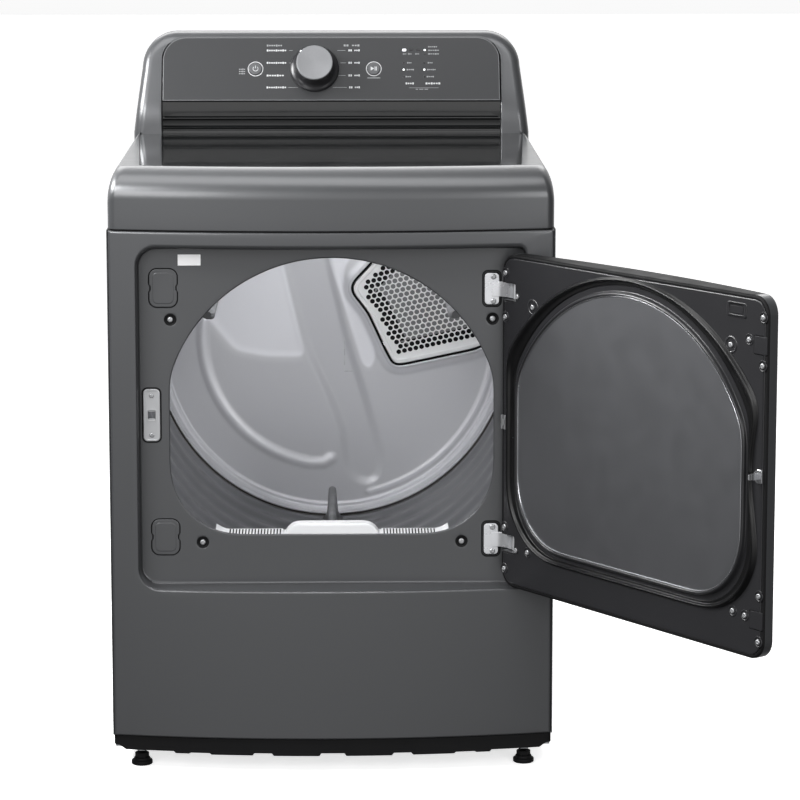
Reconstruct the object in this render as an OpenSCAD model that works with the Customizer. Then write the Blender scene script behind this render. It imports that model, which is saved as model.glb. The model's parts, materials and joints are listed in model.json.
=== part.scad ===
// Vented electric clothes dryer with a side-hinged door, shown with the door standing open.
// Millimetres, +Z up. Inside the modules X runs from the cabinet's centre line, Y from the
// cabinet's middle to the rear, and Z from the floor; in_frame() moves it all to the part's frame.

/* [Cabinet] */
// Width over the side panels
body_w = 686; // [640:1:720]
// Rear face of the cabinet
back_y = 340; // [330:1:360]
// Foremost point of the bowed front
front_y = -367; // [-380:1:-360]
// Radius of the bow of the front, in plan
front_r = 1799; // [1600:1:2400]
// Height of the bottom edge of the panels
base_z = 54; // [50:1:60]
// Height of the seam under the top cover
seam_z = 849; // [845:1:855]
// Height of the worktop
top_z = 943; // [935:1:955]
// Height of the console's top
console_top_z = 1110; // [1100:1:1130]
// Thickness of the sheet metal
sheet = 2; // [1.5:0.1:3]

/* [Front opening] */
// Front face of the recess floor that the door closes on
floor_y = -313; // [-316:1:-310]
// Half width of the door recess
recess_half_w = 297.5; // [295:0.5:300]
// Bottom of the door recess
recess_z0 = 289; // [286:1:291]
// Top of the door recess
recess_z1 = 821; // [818:1:826]
// Half width of the drum opening
mouth_half_w = 252; // [240:1:256]
// Bottom of the drum opening
mouth_z0 = 367; // [360:1:375]
// Radius of the opening's arched top
mouth_r = 263; // [255:1:268]
// Height of the centre of the arched top
mouth_arc_z = 541; // [535:1:545]
// Radius of the opening's bottom corners
mouth_corner_r = 107; // [90:1:120]

/* [Door] */
// Angle that the door stands open at, its hinge's far stop
door_open = 126; // [0:1:126]
// Bottom of the door
door_z0 = 293.5; // [292:1:296]
// Top of the door
door_z1 = 812.5; // [808:1:815]
// Half width of the door
door_half_w = 293.5; // [290:0.5:294]
// Height that the plug stands out of the door liner
plug_depth = 7; // [4:0.5:8]

/* [Drum] */
// Inner radius of the drum
drum_r = 308; // [300:1:310]
// Height of the drum's axis
drum_z = 590; // [585:1:595]
// Front edge of the drum
drum_y0 = -265; // [-268:1:-260]
// Rear edge of the drum
drum_y1 = 232; // [225:1:234]
// Radius of a support roller
roller_r = 38; // [30:1:42]
// Height that a lifter stands above the drum wall
lifter_h = 90; // [60:1:95]

/* [Console] */
// Lean of the control face from upright
face_tilt = 25; // [20:1:30]
// Half width of the control face
face_half_w = 287; // [280:1:290]
// Radius of the dial's skirt
dial_r = 42; // [38:1:44]

/* [Feet and outlet] */
// Radius of a foot pad
foot_r = 16.5; // [14:0.5:20]
// Outside radius of the exhaust collar
outlet_r = 50.8; // [48:0.1:52]
// Length of the exhaust collar behind the cabinet
outlet_len = 42; // [35:1:50]

/* [Hidden] */
$fn = 48;

half_w = body_w / 2;
bow_fn = 720;                     // segments of the large bow, for a close preview
paint = [0.36, 0.365, 0.37];
dark = [0.1, 0.1, 0.105];
grey = [0.62, 0.63, 0.64];
pale = [0.85, 0.86, 0.87];
steel = [0.75, 0.76, 0.78];

// Door hinge axis, and where the door stands when closed
pivot = [281, front_y + 29];
liner_y = floor_y - 9;            // rear face of the door liner, 9 mm in front of the recess floor
hinge_z = [754, 361];             // heights of the middles of the two hinges
door_r = 28;                      // corner radius of the door
door_edge = [door_half_w, front_y + front_r - sqrt(front_r * front_r - door_half_w * door_half_w)];

// Origin: the middle of the footprint of the whole dryer, with the door open
function turned(p, a) = [
    pivot[0] + (p[0] - pivot[0]) * cos(a) - (p[1] - pivot[1]) * sin(a),
    pivot[1] + (p[0] - pivot[0]) * sin(a) + (p[1] - pivot[1]) * cos(a)
];
free_outer = turned([-door_edge[0], door_edge[1]], door_open);
free_inner = turned([-door_half_w, liner_y], door_open);
origin_x = (free_outer[0] - half_w) / 2;
origin_y = (free_inner[1] + back_y + outlet_len) / 2;

// Drum drive
drum_out_r = drum_r + 1.5;
gap = 0.3;                        // running gap between parts that roll on each other
roller_angle = 35;
roller_x = (drum_out_r + gap + roller_r) * sin(roller_angle);
roller_z = drum_z - (drum_out_r + gap + roller_r) * cos(roller_angle);
roller_w = 22;
roller_y = [-262, 192];           // front faces of the front and rear rollers
axle_r = 6;
belt_y = 130;
belt_w = 8;
belt_t = 1.8;
motor_z = 150;
pulley_r = 10;
shaft_r = 6;
idler_r = 30;
// The belt's straight runs lean by this sine and cosine; the idler bears on the left run
belt_sin = (drum_out_r - pulley_r) / (drum_z - motor_z);
belt_cos = sqrt(1 - belt_sin * belt_sin);
belt_touch_z = 262;
belt_touch_x = (drum_out_r + 0.6 + belt_t - belt_sin * (drum_z - belt_touch_z)) / belt_cos;
idler_at = [-belt_touch_x - (idler_r + gap) * belt_cos, belt_touch_z - (idler_r + gap) * belt_sin];
idler_pivot = [-190, 120];
blower_r = 90;
blower_y0 = -262;
blower_depth = 72;

// Exhaust
duct_x = 130;
duct_z = 135;
cord_hole_r = 14.1;
terminal_x = -220;
terminal_z = 190;

// Console: the control face's bottom edge, and its length up the slope
face_y = 245;
face_z = 994;
face_len = 117;
console_back_y = back_y - 3;
dial_x = -28;
button_x = [-129, 72];
control_v = 58.5;                 // height of the dial and buttons up the face
button_r = 11;

foot_x = 300;
foot_y = [-318, 305];
screw_r = 4;

// Places on the recess floor
floor_screws = [[-248, 707], [248, 707], [-201, 357], [201, 357]];
latch_at = [-278, 558];
blank_x = [-282, -235];
blank_z = [[724, 788], [335, 396]];
door_screw_at = concat(
    [for (x = [-284, 284], z = [783, 715, 387, 321]) [x, z]],
    [for (x = [-256, 256], z = [749, 354]) [x, z]],
    [for (x = [-219, 219]) [x, 737]],
    [for (x = [-231, 228]) [x, 356]]
);

module in_frame() {
    translate([-origin_x, -origin_y, 0]) children();
}

module in_door() {
    translate([pivot[0], pivot[1], 0]) rotate([0, 0, door_open]) translate([-pivot[0], -pivot[1], 0])
        children();
}

// Stands a front-view outline, drawn in X and Z, up between two Y values
module slab_y(y0, y1) {
    translate([0, y1, 0]) rotate([90, 0, 0]) linear_extrude(height = y1 - y0) children();
}

// Extrudes a side-view outline, drawn in Y and Z, between two X values
module slab_x(x0, x1) {
    translate([x0, 0, 0]) rotate([90, 0, 90]) linear_extrude(height = x1 - x0) children();
}

module rod_y(x, z, r, y0, y1) {
    translate([x, y0, z]) rotate([-90, 0, 0]) cylinder(r = r, h = y1 - y0);
}

module rounded(x0, x1, z0, z1, r) {
    translate([x0 + r, z0]) square([x1 - x0 - 2 * r, z1 - z0]);
    translate([x0, z0 + r]) square([x1 - x0, z1 - z0 - 2 * r]);
    for (x = [x0 + r, x1 - r], z = [z0 + r, z1 - r]) translate([x, z]) circle(r = r);
}

// Everything behind the bowed front, set back by inset
module bowed(inset, w, z0, z1) {
    intersection() {
        translate([0, front_y + front_r, z0]) cylinder(r = front_r - inset, h = z1 - z0, $fn = bow_fn);
        translate([-w, front_y - 1, z0]) cube([2 * w, 200, z1 - z0]);
    }
}

// An arched top of radius arc_r about arc_z, on a box with large round bottom corners
module arch(w, z0, corner_r, arc_r, arc_z) {
    z = z0 + corner_r;
    x = w - corner_r;
    intersection() {
        translate([0, arc_z]) circle(r = arc_r, $fn = 96);
        translate([-w, z]) square([2 * w, 400]);
    }
    translate([-x, z0]) square([2 * x, corner_r + 1]);
    for (s = [-1, 1]) translate([s * x, z]) circle(r = corner_r, $fn = 72);
}

// The drum opening, the door's inner panel and the two edges of the door gasket
module mouth(g = 0) {
    arch(mouth_half_w + g, mouth_z0 - g, mouth_corner_r + g, mouth_r + g, mouth_arc_z);
}
module plug(g = 0) { arch(251 + g, 369 - g, 95 + g, 278 + g, 504); }
module seal_inner() { arch(259, 358, 100, 291, 504); }
module seal_outer() { arch(281, 348, 112, 340, 467); }

// Outline of the door recess; its hinge-side corners are tighter, to clear the open door
module recess(grow = 0) {
    z0 = recess_z0 - grow;
    z1 = recess_z1 + grow;
    rounded(-recess_half_w - grow, recess_half_w - 60, z0, z1, 30 + grow);
    rounded(-recess_half_w + 60, recess_half_w + grow, z0, z1, 11 + grow);
}

module door_outline(inset = 0) {
    rounded(-door_half_w + inset, door_half_w - inset, door_z0 + inset, door_z1 - inset, door_r - inset);
}

// ---- Cabinet ----

module side_panel(s) {
    color(paint) in_frame() {
        front = front_y + 34;
        x = s > 0 ? half_w - sheet : -half_w;
        flange_x = s > 0 ? half_w - 22 : -half_w;
        translate([x, front, base_z]) cube([sheet, back_y - 4 - front, seam_z - base_z]);
        translate([flange_x, back_y - 4 - sheet, base_z]) cube([22, sheet, seam_z - base_z]);
    }
}

module side_panel_left() { side_panel(-1); }
module side_panel_right() { side_panel(1); }

module rear_panel() {
    color(steel) in_frame() difference() {
        slab_y(back_y - sheet - 1, back_y - 1) translate([-half_w + sheet, base_z])
            square([body_w - 2 * sheet, seam_z - base_z - 1]);
        rod_y(duct_x, duct_z, outlet_r + 3.6, back_y - 10, back_y + 5);
        rod_y(terminal_x, terminal_z - 40, cord_hole_r, back_y - 10, back_y + 5);
        for (z = [560 : 16 : 720], x = [70, 170])
            translate([x, back_y - 10, z]) cube([76, 20, 6]);
    }
}

module base_pan() {
    color(steel) in_frame() difference() {
        translate([-half_w + 2.5, floor_y + 1.5, 30]) cube([body_w - 5, 644.5, 40]);
        translate([-half_w + 4.5, floor_y + 3.5, 32]) cube([body_w - 9, 640.5, 60]);
        for (x = [-foot_x, foot_x], y = foot_y)
            translate([x, y > 0 ? y : y + 14, 20]) cylinder(r = 5.2, h = 30);
    }
}

module kick_plate() {
    color(dark) in_frame() {
        difference() {
            intersection() {
                bowed(5, 336, 26, base_z - 0.5);
                slab_y(front_y - 5, 0) polygon([[-336, base_z], [-316, 26], [316, 26], [336, base_z]]);
            }
            bowed(8, 400, 20, 60);
            for (s = [-1, 1], step = [[262, 34], [205, 26], [128, 24]])
                slab_y(front_y - 5, 0) translate([s * step[0] - step[1] / 2, 20]) square([step[1], 10]);
        }
    }
}

module front_panel() {
    color(paint) in_frame() {
        difference() {
            bowed(0, half_w - sheet - 0.3, base_z, seam_z - 1.5);
            bowed(sheet, half_w - 2 * sheet - 0.3, base_z - 1, seam_z);
            translate([-400, floor_y + 1, 0]) cube([800, 400, 900]);
            slab_y(front_y - 5, 0) recess();
        }
        // walls of the door recess
        intersection() {
            bowed(0.4, half_w - 5, base_z, seam_z - 3);
            slab_y(front_y - 5, floor_y + sheet) difference() {
                recess(sheet);
                recess();
            }
        }
        // floor of the door recess, with the drum opening and the catch's slot
        difference() {
            slab_y(floor_y, floor_y + sheet) difference() {
                recess(sheet - 0.2);
                mouth();
            }
            slab_y(floor_y - 5, floor_y + 5) translate([latch_at[0] - 6, latch_at[1] - 8]) square([12, 16]);
        }
    }
}

// Section of the top cover through its front: the skirt, the rounded nose and the top
nose_r = 46;
function nose(inset) = concat(
    [[front_r - inset, seam_z + 0.5 - (inset > 0 ? 2 : 0)], [front_r - inset, top_z - nose_r]],
    [for (a = [15 : 15 : 90])
        [front_r - nose_r + (nose_r - inset) * cos(a), top_z - nose_r + (nose_r - inset) * sin(a)]]
);

module cover_solid(inset) {
    z0 = seam_z + 0.5 - (inset > 0 ? 2 : 0);
    intersection() {
        translate([0, front_y + front_r, 0]) rotate_extrude($fn = bow_fn)
            polygon(concat(nose(inset), [[front_r - 720, top_z - inset], [front_r - 720, z0]]));
        slab_y(front_y - 2, back_y - 2 - inset) polygon([
            [-half_w + inset, z0], [half_w - inset, z0], [half_w - inset, 896],
            [half_w - 2 - inset, 915], [half_w - 6 - inset, 930], [half_w - 14 - inset, top_z - inset],
            [-half_w + 14 + inset, top_z - inset], [-half_w + 6 + inset, 930],
            [-half_w + 2 + inset, 915], [-half_w + inset, 896]
        ]);
    }
}

module top_cover() {
    color(paint) in_frame() difference() {
        cover_solid(0);
        cover_solid(5);
        // shallow tray of the worktop, wider at the rear
        translate([0, 0, top_z - 2.5]) linear_extrude(height = 10)
            polygon([[-290, -318], [290, -318], [326, 236], [-326, 236]]);
        // well under the console
        translate([-300, 262, top_z - 20]) cube([600, 60, 40]);
    }
}

module foot(x, y) {
    color(dark) in_frame() translate([x, y, 0]) {
        cylinder(r = foot_r, h = 7);
        translate([0, 0, 7]) cylinder(r = foot_r - 3, h = 4);
        translate([0, 0, 11]) cylinder(r = 11, h = 8, $fn = 6);
        translate([0, 0, 19]) cylinder(r = 4.8, h = 42);
    }
}

module foot_front_left() { foot(-foot_x, foot_y[0] + 14); }
module foot_front_right() { foot(foot_x, foot_y[0] + 14); }
module foot_rear_left() { foot(-foot_x, foot_y[1]); }
module foot_rear_right() { foot(foot_x, foot_y[1]); }

module foot_lock_nuts() {
    color(steel) in_frame() for (x = [-foot_x, foot_x], y = [foot_y[0] + 14, foot_y[1]])
        translate([x, y, 22.5]) difference() {
            cylinder(r = 10, h = 7, $fn = 6);
            translate([0, 0, -1]) cylinder(r = 4.85, h = 9);
        }
}

// ---- Console ----

// Front-view outline of the console, tapering up to two large round corners
module console_front(inset = 0) {
    r = 58 - inset;
    cx = 263;
    cz = console_top_z - 58;
    polygon(concat(
        [[-336 + inset, top_z - 60], [336 - inset, top_z - 60], [336 - inset, top_z]],
        [for (a = [0 : 10 : 90]) [cx + r * cos(a), cz + r * sin(a)]],
        [for (a = [90 : 10 : 180]) [-cx + r * cos(a), cz + r * sin(a)]],
        [[-336 + inset, top_z]]
    ));
}

module on_face() {
    translate([0, face_y, face_z]) rotate([90 - face_tilt, 0, 0]) children();
}

module console_housing() {
    color(paint) in_frame() difference() {
        intersection() {
            union() {
                // cheeks at both ends
                for (x = [[-340, -face_half_w - 2], [face_half_w + 2, 340]])
                    slab_x(x[0], x[1]) polygon([
                        [240, top_z + 0.5], [240, 960], [243, 985], [252, 1010], [290, 1092],
                        [300, 1104], [314, console_top_z], [console_back_y, console_top_z],
                        [console_back_y, top_z + 0.5]
                    ]);
                // middle: the channel below, the shelf behind the control panel and the top
                slab_x(-face_half_w - 3, face_half_w + 3) polygon([
                    [262, top_z + 0.5], [262, 980], [250, 987], [249, 995], [301, 1106],
                    [314, console_top_z], [console_back_y, console_top_z],
                    [console_back_y, top_z + 0.5]
                ]);
            }
            slab_y(230, 360) console_front();
        }
        intersection() {
            slab_x(-340, 340) polygon([
                [265, top_z - 10], [265, 984], [257, 995], [305, 1101], [316, console_top_z - 3],
                [350, console_top_z - 3], [350, top_z - 10]
            ]);
            slab_y(230, 360) console_front(4);
        }
        // window behind the control panel
        on_face() translate([-200, 12, -20]) cube([420, 95, 30]);
        // grooves of the channel
        for (z = [950, 967]) translate([-face_half_w, 260, z]) cube([2 * face_half_w, 3, 10]);
    }
}

module console_rear_cover() {
    color(dark) in_frame() slab_y(console_back_y + 0.2, console_back_y + 2.2) intersection() {
        console_front(2);
        translate([-400, top_z + 0.6]) square([800, 300]);
    }
}

module face_outline(inset = 0) {
    w = face_half_w - inset;
    r = 40 - inset;
    translate([-w, inset]) square([2 * w, face_len - 40 - inset]);
    translate([-w + r, inset]) square([2 * (w - r), face_len - 2 * inset]);
    for (s = [-1, 1]) translate([s * (w - r), face_len - inset - r]) circle(r = r);
}

led_at = concat(
    [for (x = [124, 136, 148]) [x, 92.5]],
    [[159, 92.5], [159, 85.4]],
    [for (x = [123, 158], v = [44.2, 56.9, 69.3]) [x, v]]
);

module control_panel() {
    color(dark) in_frame() on_face() {
        difference() {
            linear_extrude(height = 3) face_outline();
            translate([dial_x, control_v, -1]) cylinder(r = 6, h = 6);
            for (x = button_x) translate([x, control_v, -1]) cylinder(r = button_r + 0.4, h = 6);
            for (p = led_at) translate([p[0], p[1], -1]) cylinder(r = 2, h = 6);
        }
        for (x = [-175, 195], v = [22, 98]) translate([x, v, -16.5]) cylinder(r = 4, h = 17);
    }
}

module control_board() {
    color([0.1, 0.35, 0.2]) in_frame() on_face() {
        translate([-185, 14, -18.2]) cube([390, 91, 1.6]);
        for (x = button_x) translate([x, control_v, -17]) cylinder(r = 4, h = 4.5);
        translate([100, 20, -24]) cube([60, 40, 6]);
        translate([-100, 24, -26]) cube([40, 30, 8]);
    }
}

module indicator_lights() {
    color("white") in_frame() on_face() for (p = led_at)
        translate([p[0], p[1], -16.6]) cylinder(r = 1.9, h = 19.9);
}

module dial_knob() {
    color(steel) in_frame() on_face() translate([dial_x, control_v, 0]) difference() {
        union() {
            translate([0, 0, 4]) cylinder(r1 = dial_r, r2 = dial_r - 5, h = 9);
            translate([0, 0, 13]) cylinder(r1 = dial_r - 8, r2 = 31, h = 18);
            translate([0, 0, 31]) cylinder(r1 = 31, r2 = 30, h = 1.5);
        }
        translate([0, 0, 3]) cylinder(r = 3.05, h = 20);
    }
}

module rotary_switch() {
    color(steel) in_frame() on_face() translate([dial_x, control_v, 0]) {
        translate([-14, -14, -16.5]) cube([28, 28, 14]);
        translate([0, 0, -2.6]) cylinder(r = 5.6, h = 4.5);
        translate([0, 0, 1.8]) cylinder(r = 3, h = 18);
    }
}

module push_button(x) {
    color(grey) in_frame() on_face() translate([x, control_v, 0]) {
        translate([0, 0, -1]) cylinder(r = button_r, h = 5.5);
        translate([0, 0, -10.5]) cylinder(r = 3, h = 10);
    }
}

module power_button() { push_button(button_x[0]); }
module start_button() { push_button(button_x[1]); }

// ---- Drum and its supports ----

module front_bulkhead() {
    color(grey) in_frame() {
        y0 = floor_y + 4;
        difference() {
            slab_y(y0, y0 + 3) difference() {
                translate([-325, 245]) square([650, 590]);
                mouth(2);
            }
            slab_y(y0 - 5, y0 + 5) translate([latch_at[0] - 9, latch_at[1] - 11]) square([18, 22]);
        }
        // collar that the drum's front edge turns on, open at the bottom for the lint filter
        difference() {
            rod_y(0, drum_z, 303, y0 + 2, drum_y0 + 20);
            rod_y(0, drum_z, 300, y0 - 1, drum_y0 + 21);
            translate([-80, y0, 200]) cube([160, 40, 150]);
        }
    }
}

module rear_bulkhead() {
    color(pale) in_frame() {
        difference() {
            slab_y(drum_y1 + 6, drum_y1 + 9) translate([-330, 245]) square([660, 645]);
            slab_y(200, 300) grille_outline(-12);
        }
        difference() {
            rod_y(0, drum_z, 303, drum_y1 - 20, drum_y1 + 7);
            rod_y(0, drum_z, 300, drum_y1 - 21, drum_y1 + 8);
        }
    }
}

// Air inlet: a plate that widens from near the drum's axis to the rim
module grille_outline(grow = 0) {
    intersection() {
        translate([0, drum_z]) circle(r = 284 + grow, $fn = 96);
        polygon([
            [35 - grow, drum_z + 82], [38 - grow, drum_z + 97], [67 - grow, drum_z + 128 + grow],
            [235, drum_z + 300], [420, drum_z + 17], [240, drum_z - 19 - grow],
            [119, drum_z - 46 - grow], [104 - grow, drum_z - 44 - grow], [63 - grow, drum_z + 43]
        ]);
    }
}

module inlet_grille() {
    color(pale) in_frame() {
        pitch = 18;
        lean = 12.5;
        difference() {
            slab_y(drum_y1 + 2.5, drum_y1 + 5.8) grille_outline();
            translate([165, 0, drum_z + 80]) rotate([0, -lean, 0])
                for (i = [-5 : 5], j = [-6 : 6]) let (
                    x = (i + (j % 2 == 0 ? 0 : 0.5)) * pitch,
                    z = j * pitch * 0.866,
                    xr = 165 + x * cos(lean) - z * sin(lean),
                    zr = 80 + x * sin(lean) + z * cos(lean),
                    r = sqrt(xr * xr + zr * zr),
                    a = atan2(zr, xr)
                ) if (r > 112 && r < 268 && a > -6 && a < 49)
                    rod_y(x, z, 6.4, drum_y1, drum_y1 + 8);
        }
    }
}

module drum_shell() {
    color(grey) in_frame() difference() {
        union() {
            rod_y(0, drum_z, drum_out_r, drum_y0, drum_y1);
            for (y = [belt_y - 14, belt_y + 10]) rod_y(0, drum_z, drum_out_r + 2, y, y + 4);
        }
        rod_y(0, drum_z, drum_r, drum_y0 - 1, drum_y1 + 1);
    }
}

module drum_lifters() {
    color(grey) in_frame() for (a = [0, 120, 240])
        translate([0, 0, drum_z]) rotate([0, a, 0]) difference() {
            slab_y(-238, 190) {
                polygon([[-22, -drum_r + 1.2], [22, -drum_r + 1.2], [6.5, -drum_r + lifter_h - 6.5],
                         [-6.5, -drum_r + lifter_h - 6.5]]);
                translate([0, -drum_r + lifter_h - 6.5]) circle(r = 6.5);
            }
            translate([-30, 10, -drum_r + lifter_h]) rotate([-18, 0, 0]) cube([60, 300, 100]);
        }
}

module drum_felts() {
    color([0.3, 0.3, 0.3]) in_frame() for (y = [drum_y0 + 3, drum_y1 - 18]) difference() {
        rod_y(0, drum_z, drum_r - 0.4, y, y + 15);
        rod_y(0, drum_z, 303.05, y - 1, y + 16);
    }
}

module belt_outline(grow) {
    hull() {
        translate([0, drum_z]) circle(r = drum_out_r + 0.6 + grow, $fn = 120);
        translate([0, motor_z]) circle(r = pulley_r + 0.6 + grow, $fn = 32);
    }
}

module drum_belt() {
    color([0.08, 0.08, 0.08]) in_frame() slab_y(belt_y, belt_y + belt_w) difference() {
        belt_outline(belt_t);
        belt_outline(0);
    }
}

module motor() {
    color(steel) in_frame() difference() {
        union() {
            rod_y(0, motor_z, 62, -70, 80);
            rod_y(0, motor_z, 54, -82, 92);
        }
        rod_y(0, motor_z, shaft_r + 0.05, -90, 100);
    }
}

module motor_bracket() {
    color(steel) in_frame() difference() {
        for (y = [-60, 58]) slab_y(y, y + 12) union() {
            translate([-60, 32.2]) square([120, 60]);
            translate([-72, 32.2]) square([144, 4]);
        }
        rod_y(0, motor_z, 62.05, -100, 110);
    }
    // upright and stud for the idler arm
    color(steel) in_frame() {
        slab_y(belt_y - 26, belt_y - 22)
            polygon([[-215, 32.2], [-165, 32.2], [-178, 130], [-202, 130]]);
        rod_y(idler_pivot[0], idler_pivot[1], 5, belt_y - 25, belt_y - 10);
    }
}

module motor_shaft() {
    color(steel) in_frame() {
        rod_y(0, motor_z, shaft_r, -200, 148);
        rod_y(0, motor_z, pulley_r, belt_y - 4, belt_y + belt_w + 4);
    }
}

module blower_housing() {
    color(dark) in_frame() {
        y1 = blower_y0 + blower_depth;
        difference() {
            union() {
                rod_y(0, motor_z, blower_r, blower_y0, y1);
                translate([0, blower_y0, 80]) cube([duct_x + 54, blower_depth, 110]);
            }
            rod_y(0, motor_z, blower_r - 3, blower_y0 + 3, y1 - 3);
            translate([0, blower_y0 + 3, 83]) cube([duct_x + 51, blower_depth - 6, 104]);
            rod_y(0, motor_z, 55, blower_y0 - 5, blower_y0 + 5);
            rod_y(0, motor_z, shaft_r + 3, y1 - 10, y1 + 5);
            rod_y(duct_x, duct_z, 48, y1 - 10, y1 + 5);
        }
    }
}

module blower_wheel() {
    color(dark) in_frame() {
        y = blower_y0 + 10;
        difference() {
            union() {
                rod_y(0, motor_z, 76, y + 46, y + 50);
                rod_y(0, motor_z, 14, y + 16, y + 50);
                difference() {
                    rod_y(0, motor_z, 76, y, y + 4);
                    rod_y(0, motor_z, 58, y - 1, y + 5);
                }
                for (a = [0 : 15 : 345]) translate([0, 0, motor_z]) rotate([0, a, 0])
                    translate([60, y + 2, -1]) cube([15, 46, 2]);
            }
            rod_y(0, motor_z, shaft_r - 0.05, y + 10, y + 60);
        }
    }
}

module idler_arm() {
    color(steel) in_frame() {
        dx = idler_at[0] - idler_pivot[0];
        dz = idler_at[1] - idler_pivot[1];
        len = sqrt(dx * dx + dz * dz);
        difference() {
            union() {
                translate([idler_pivot[0], belt_y - 16, idler_pivot[1]])
                    rotate([0, -atan2(dz, dx), 0]) translate([0, 0, -9]) cube([len, 4, 18]);
                rod_y(idler_pivot[0], idler_pivot[1], 12, belt_y - 16, belt_y - 12);
                rod_y(idler_at[0], idler_at[1], 12, belt_y - 16, belt_y - 12);
                rod_y(idler_at[0], idler_at[1], 5, belt_y - 13, belt_y + 16);
            }
            rod_y(idler_pivot[0], idler_pivot[1], 5.05, belt_y - 20, belt_y);
        }
    }
}

module idler_pulley() {
    color(dark) in_frame() difference() {
        union() {
            rod_y(idler_at[0], idler_at[1], idler_r, belt_y - 6, belt_y + belt_w + 6);
            for (y = [belt_y - 8, belt_y + belt_w + 5])
                rod_y(idler_at[0], idler_at[1], idler_r + 3, y, y + 3);
        }
        rod_y(idler_at[0], idler_at[1], 5.05, belt_y - 20, belt_y + 30);
    }
}

// Coil spring between the arm and the base
module idler_spring() {
    color(steel) in_frame() for (i = [0 : 15])
        translate([-248, belt_y - 14, 80 + i * 3.6]) rotate_extrude($fn = 24)
            translate([7, 0]) circle(r = 1.85, $fn = 16);
}

module roller(s, y) {
    color(dark) in_frame() difference() {
        rod_y(s * roller_x, roller_z, roller_r, y, y + roller_w);
        rod_y(s * roller_x, roller_z, axle_r + 0.05, y - 1, y + roller_w + 1);
    }
}

module roller_front_left() { roller(-1, roller_y[0]); }
module roller_front_right() { roller(1, roller_y[0]); }
module roller_rear_left() { roller(-1, roller_y[1]); }
module roller_rear_right() { roller(1, roller_y[1]); }

module roller_axles() {
    color(steel) in_frame() for (s = [-1, 1]) {
        rod_y(s * roller_x, roller_z, axle_r, floor_y + 7.2, roller_y[0] + roller_w + 4);
        rod_y(s * roller_x, roller_z, axle_r, roller_y[1] - 4, drum_y1 + 5.8);
        rod_y(s * roller_x, roller_z, axle_r + 3, floor_y + 7.2, roller_y[0] - 1);
        rod_y(s * roller_x, roller_z, axle_r + 3, roller_y[1] + roller_w + 1, drum_y1 + 5.8);
    }
}

module heater_box() {
    color(steel) in_frame() difference() {
        translate([20, drum_y1 + 9.2, drum_z - 60]) cube([270, 72, 260]);
        translate([22, drum_y1 + 5, drum_z - 58]) cube([266, 74.2, 256]);
        for (z = [-30 : 24 : 162]) translate([60, 300, drum_z + z]) cube([190, 40, 10]);
    }
}

module heater_coil() {
    color([0.5, 0.35, 0.3]) in_frame() for (x = [90, 150, 210], i = [0 : 5])
        translate([x, drum_y1 + 40, drum_z - 30 + i * 34]) rotate_extrude($fn = 32)
            translate([20, 0]) circle(r = 2, $fn = 16);
}

module exhaust_duct() {
    color(steel) in_frame() difference() {
        rod_y(duct_x, duct_z, 49.5, blower_y0 + blower_depth + 0.3, back_y - 20);
        rod_y(duct_x, duct_z, 48.5, blower_y0, back_y);
    }
}

module exhaust_collar() {
    color(steel) in_frame() difference() {
        union() {
            rod_y(duct_x, duct_z, outlet_r, back_y - 1, back_y + outlet_len);
            rod_y(duct_x, duct_z, outlet_r + 2.4, back_y - 30, back_y - 0.3);
            rod_y(duct_x, duct_z, outlet_r + 12, back_y - 5, back_y - 3.2);
        }
        rod_y(duct_x, duct_z, outlet_r - 1, back_y - 31, back_y + outlet_len + 1);
    }
}

module lint_filter() {
    color(pale) in_frame() {
        // grip that shows in the opening
        slab_y(floor_y + 11, floor_y + 36) polygon([[-72, 367.4], [72, 367.4], [58, 381], [-58, 381]]);
        difference() {
            translate([-62, floor_y + 16, 130]) cube([124, 16, 237.6]);
            translate([-58, floor_y + 19, 134]) cube([116, 10, 226]);
            for (z = [144 : 44 : 320], x = [-52, 2])
                translate([x, floor_y + 10, z]) cube([50, 30, 36]);
        }
    }
}

module filter_housing() {
    color(pale) in_frame() {
        y0 = floor_y + 7.5;
        difference() {
            union() {
                translate([-70, y0 + 2, 100]) cube([140, 33, 262]);
                translate([-70, y0 + 2, 100]) cube([140, 41.2, 105]);
            }
            translate([-66, y0 + 5, 104]) cube([132, 27, 270]);
            rod_y(0, motor_z, 45, y0 + 20, 0);
        }
        // slotted ledge along the bottom of the opening
        difference() {
            translate([-138, y0, 362.5]) cube([276, 38, 4]);
            translate([-66, y0 + 5, 350]) cube([132, 27, 40]);
            for (s = [-1, 1], i = [0 : 8])
                translate([s * (82 + i * 6.5) - 1.5, y0 + 6, 350]) cube([3, 26, 40]);
        }
    }
}

// ---- Door, drawn closed and turned open about its hinge ----

notch_x = 256;                    // the liner is cut away from here to the hinge edge
module hinge_notches() {
    for (z = hinge_z) translate([notch_x, front_y + 24.4, z - 15]) cube([60, 60, 30]);
}

module door_outer_panel() {
    color(paint) in_frame() in_door() difference() {
        intersection() {
            bowed(0, door_half_w, door_z0, door_z1);
            slab_y(front_y - 5, liner_y - 8) door_outline();
        }
        intersection() {
            bowed(sheet, door_half_w, door_z0, door_z1);
            slab_y(front_y - 5, liner_y + 5) door_outline(sheet);
        }
        hinge_notches();
    }
}

module door_liner() {
    color(dark) in_frame() in_door() difference() {
        union() {
            slab_y(liner_y - 7.8, liner_y) door_outline();
            slab_y(liner_y - 1, liner_y + plug_depth) plug(3);
        }
        slab_y(liner_y - 9, liner_y - 3) door_outline(3);
        slab_y(liner_y - 4, liner_y + plug_depth + 1) plug();
        hinge_notches();
            }
}

module door_inner_panel() {
    color([0.3, 0.3, 0.31]) in_frame() in_door()
        slab_y(liner_y + plug_depth - 4, liner_y + plug_depth - 1) plug(-0.2);
}

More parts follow.
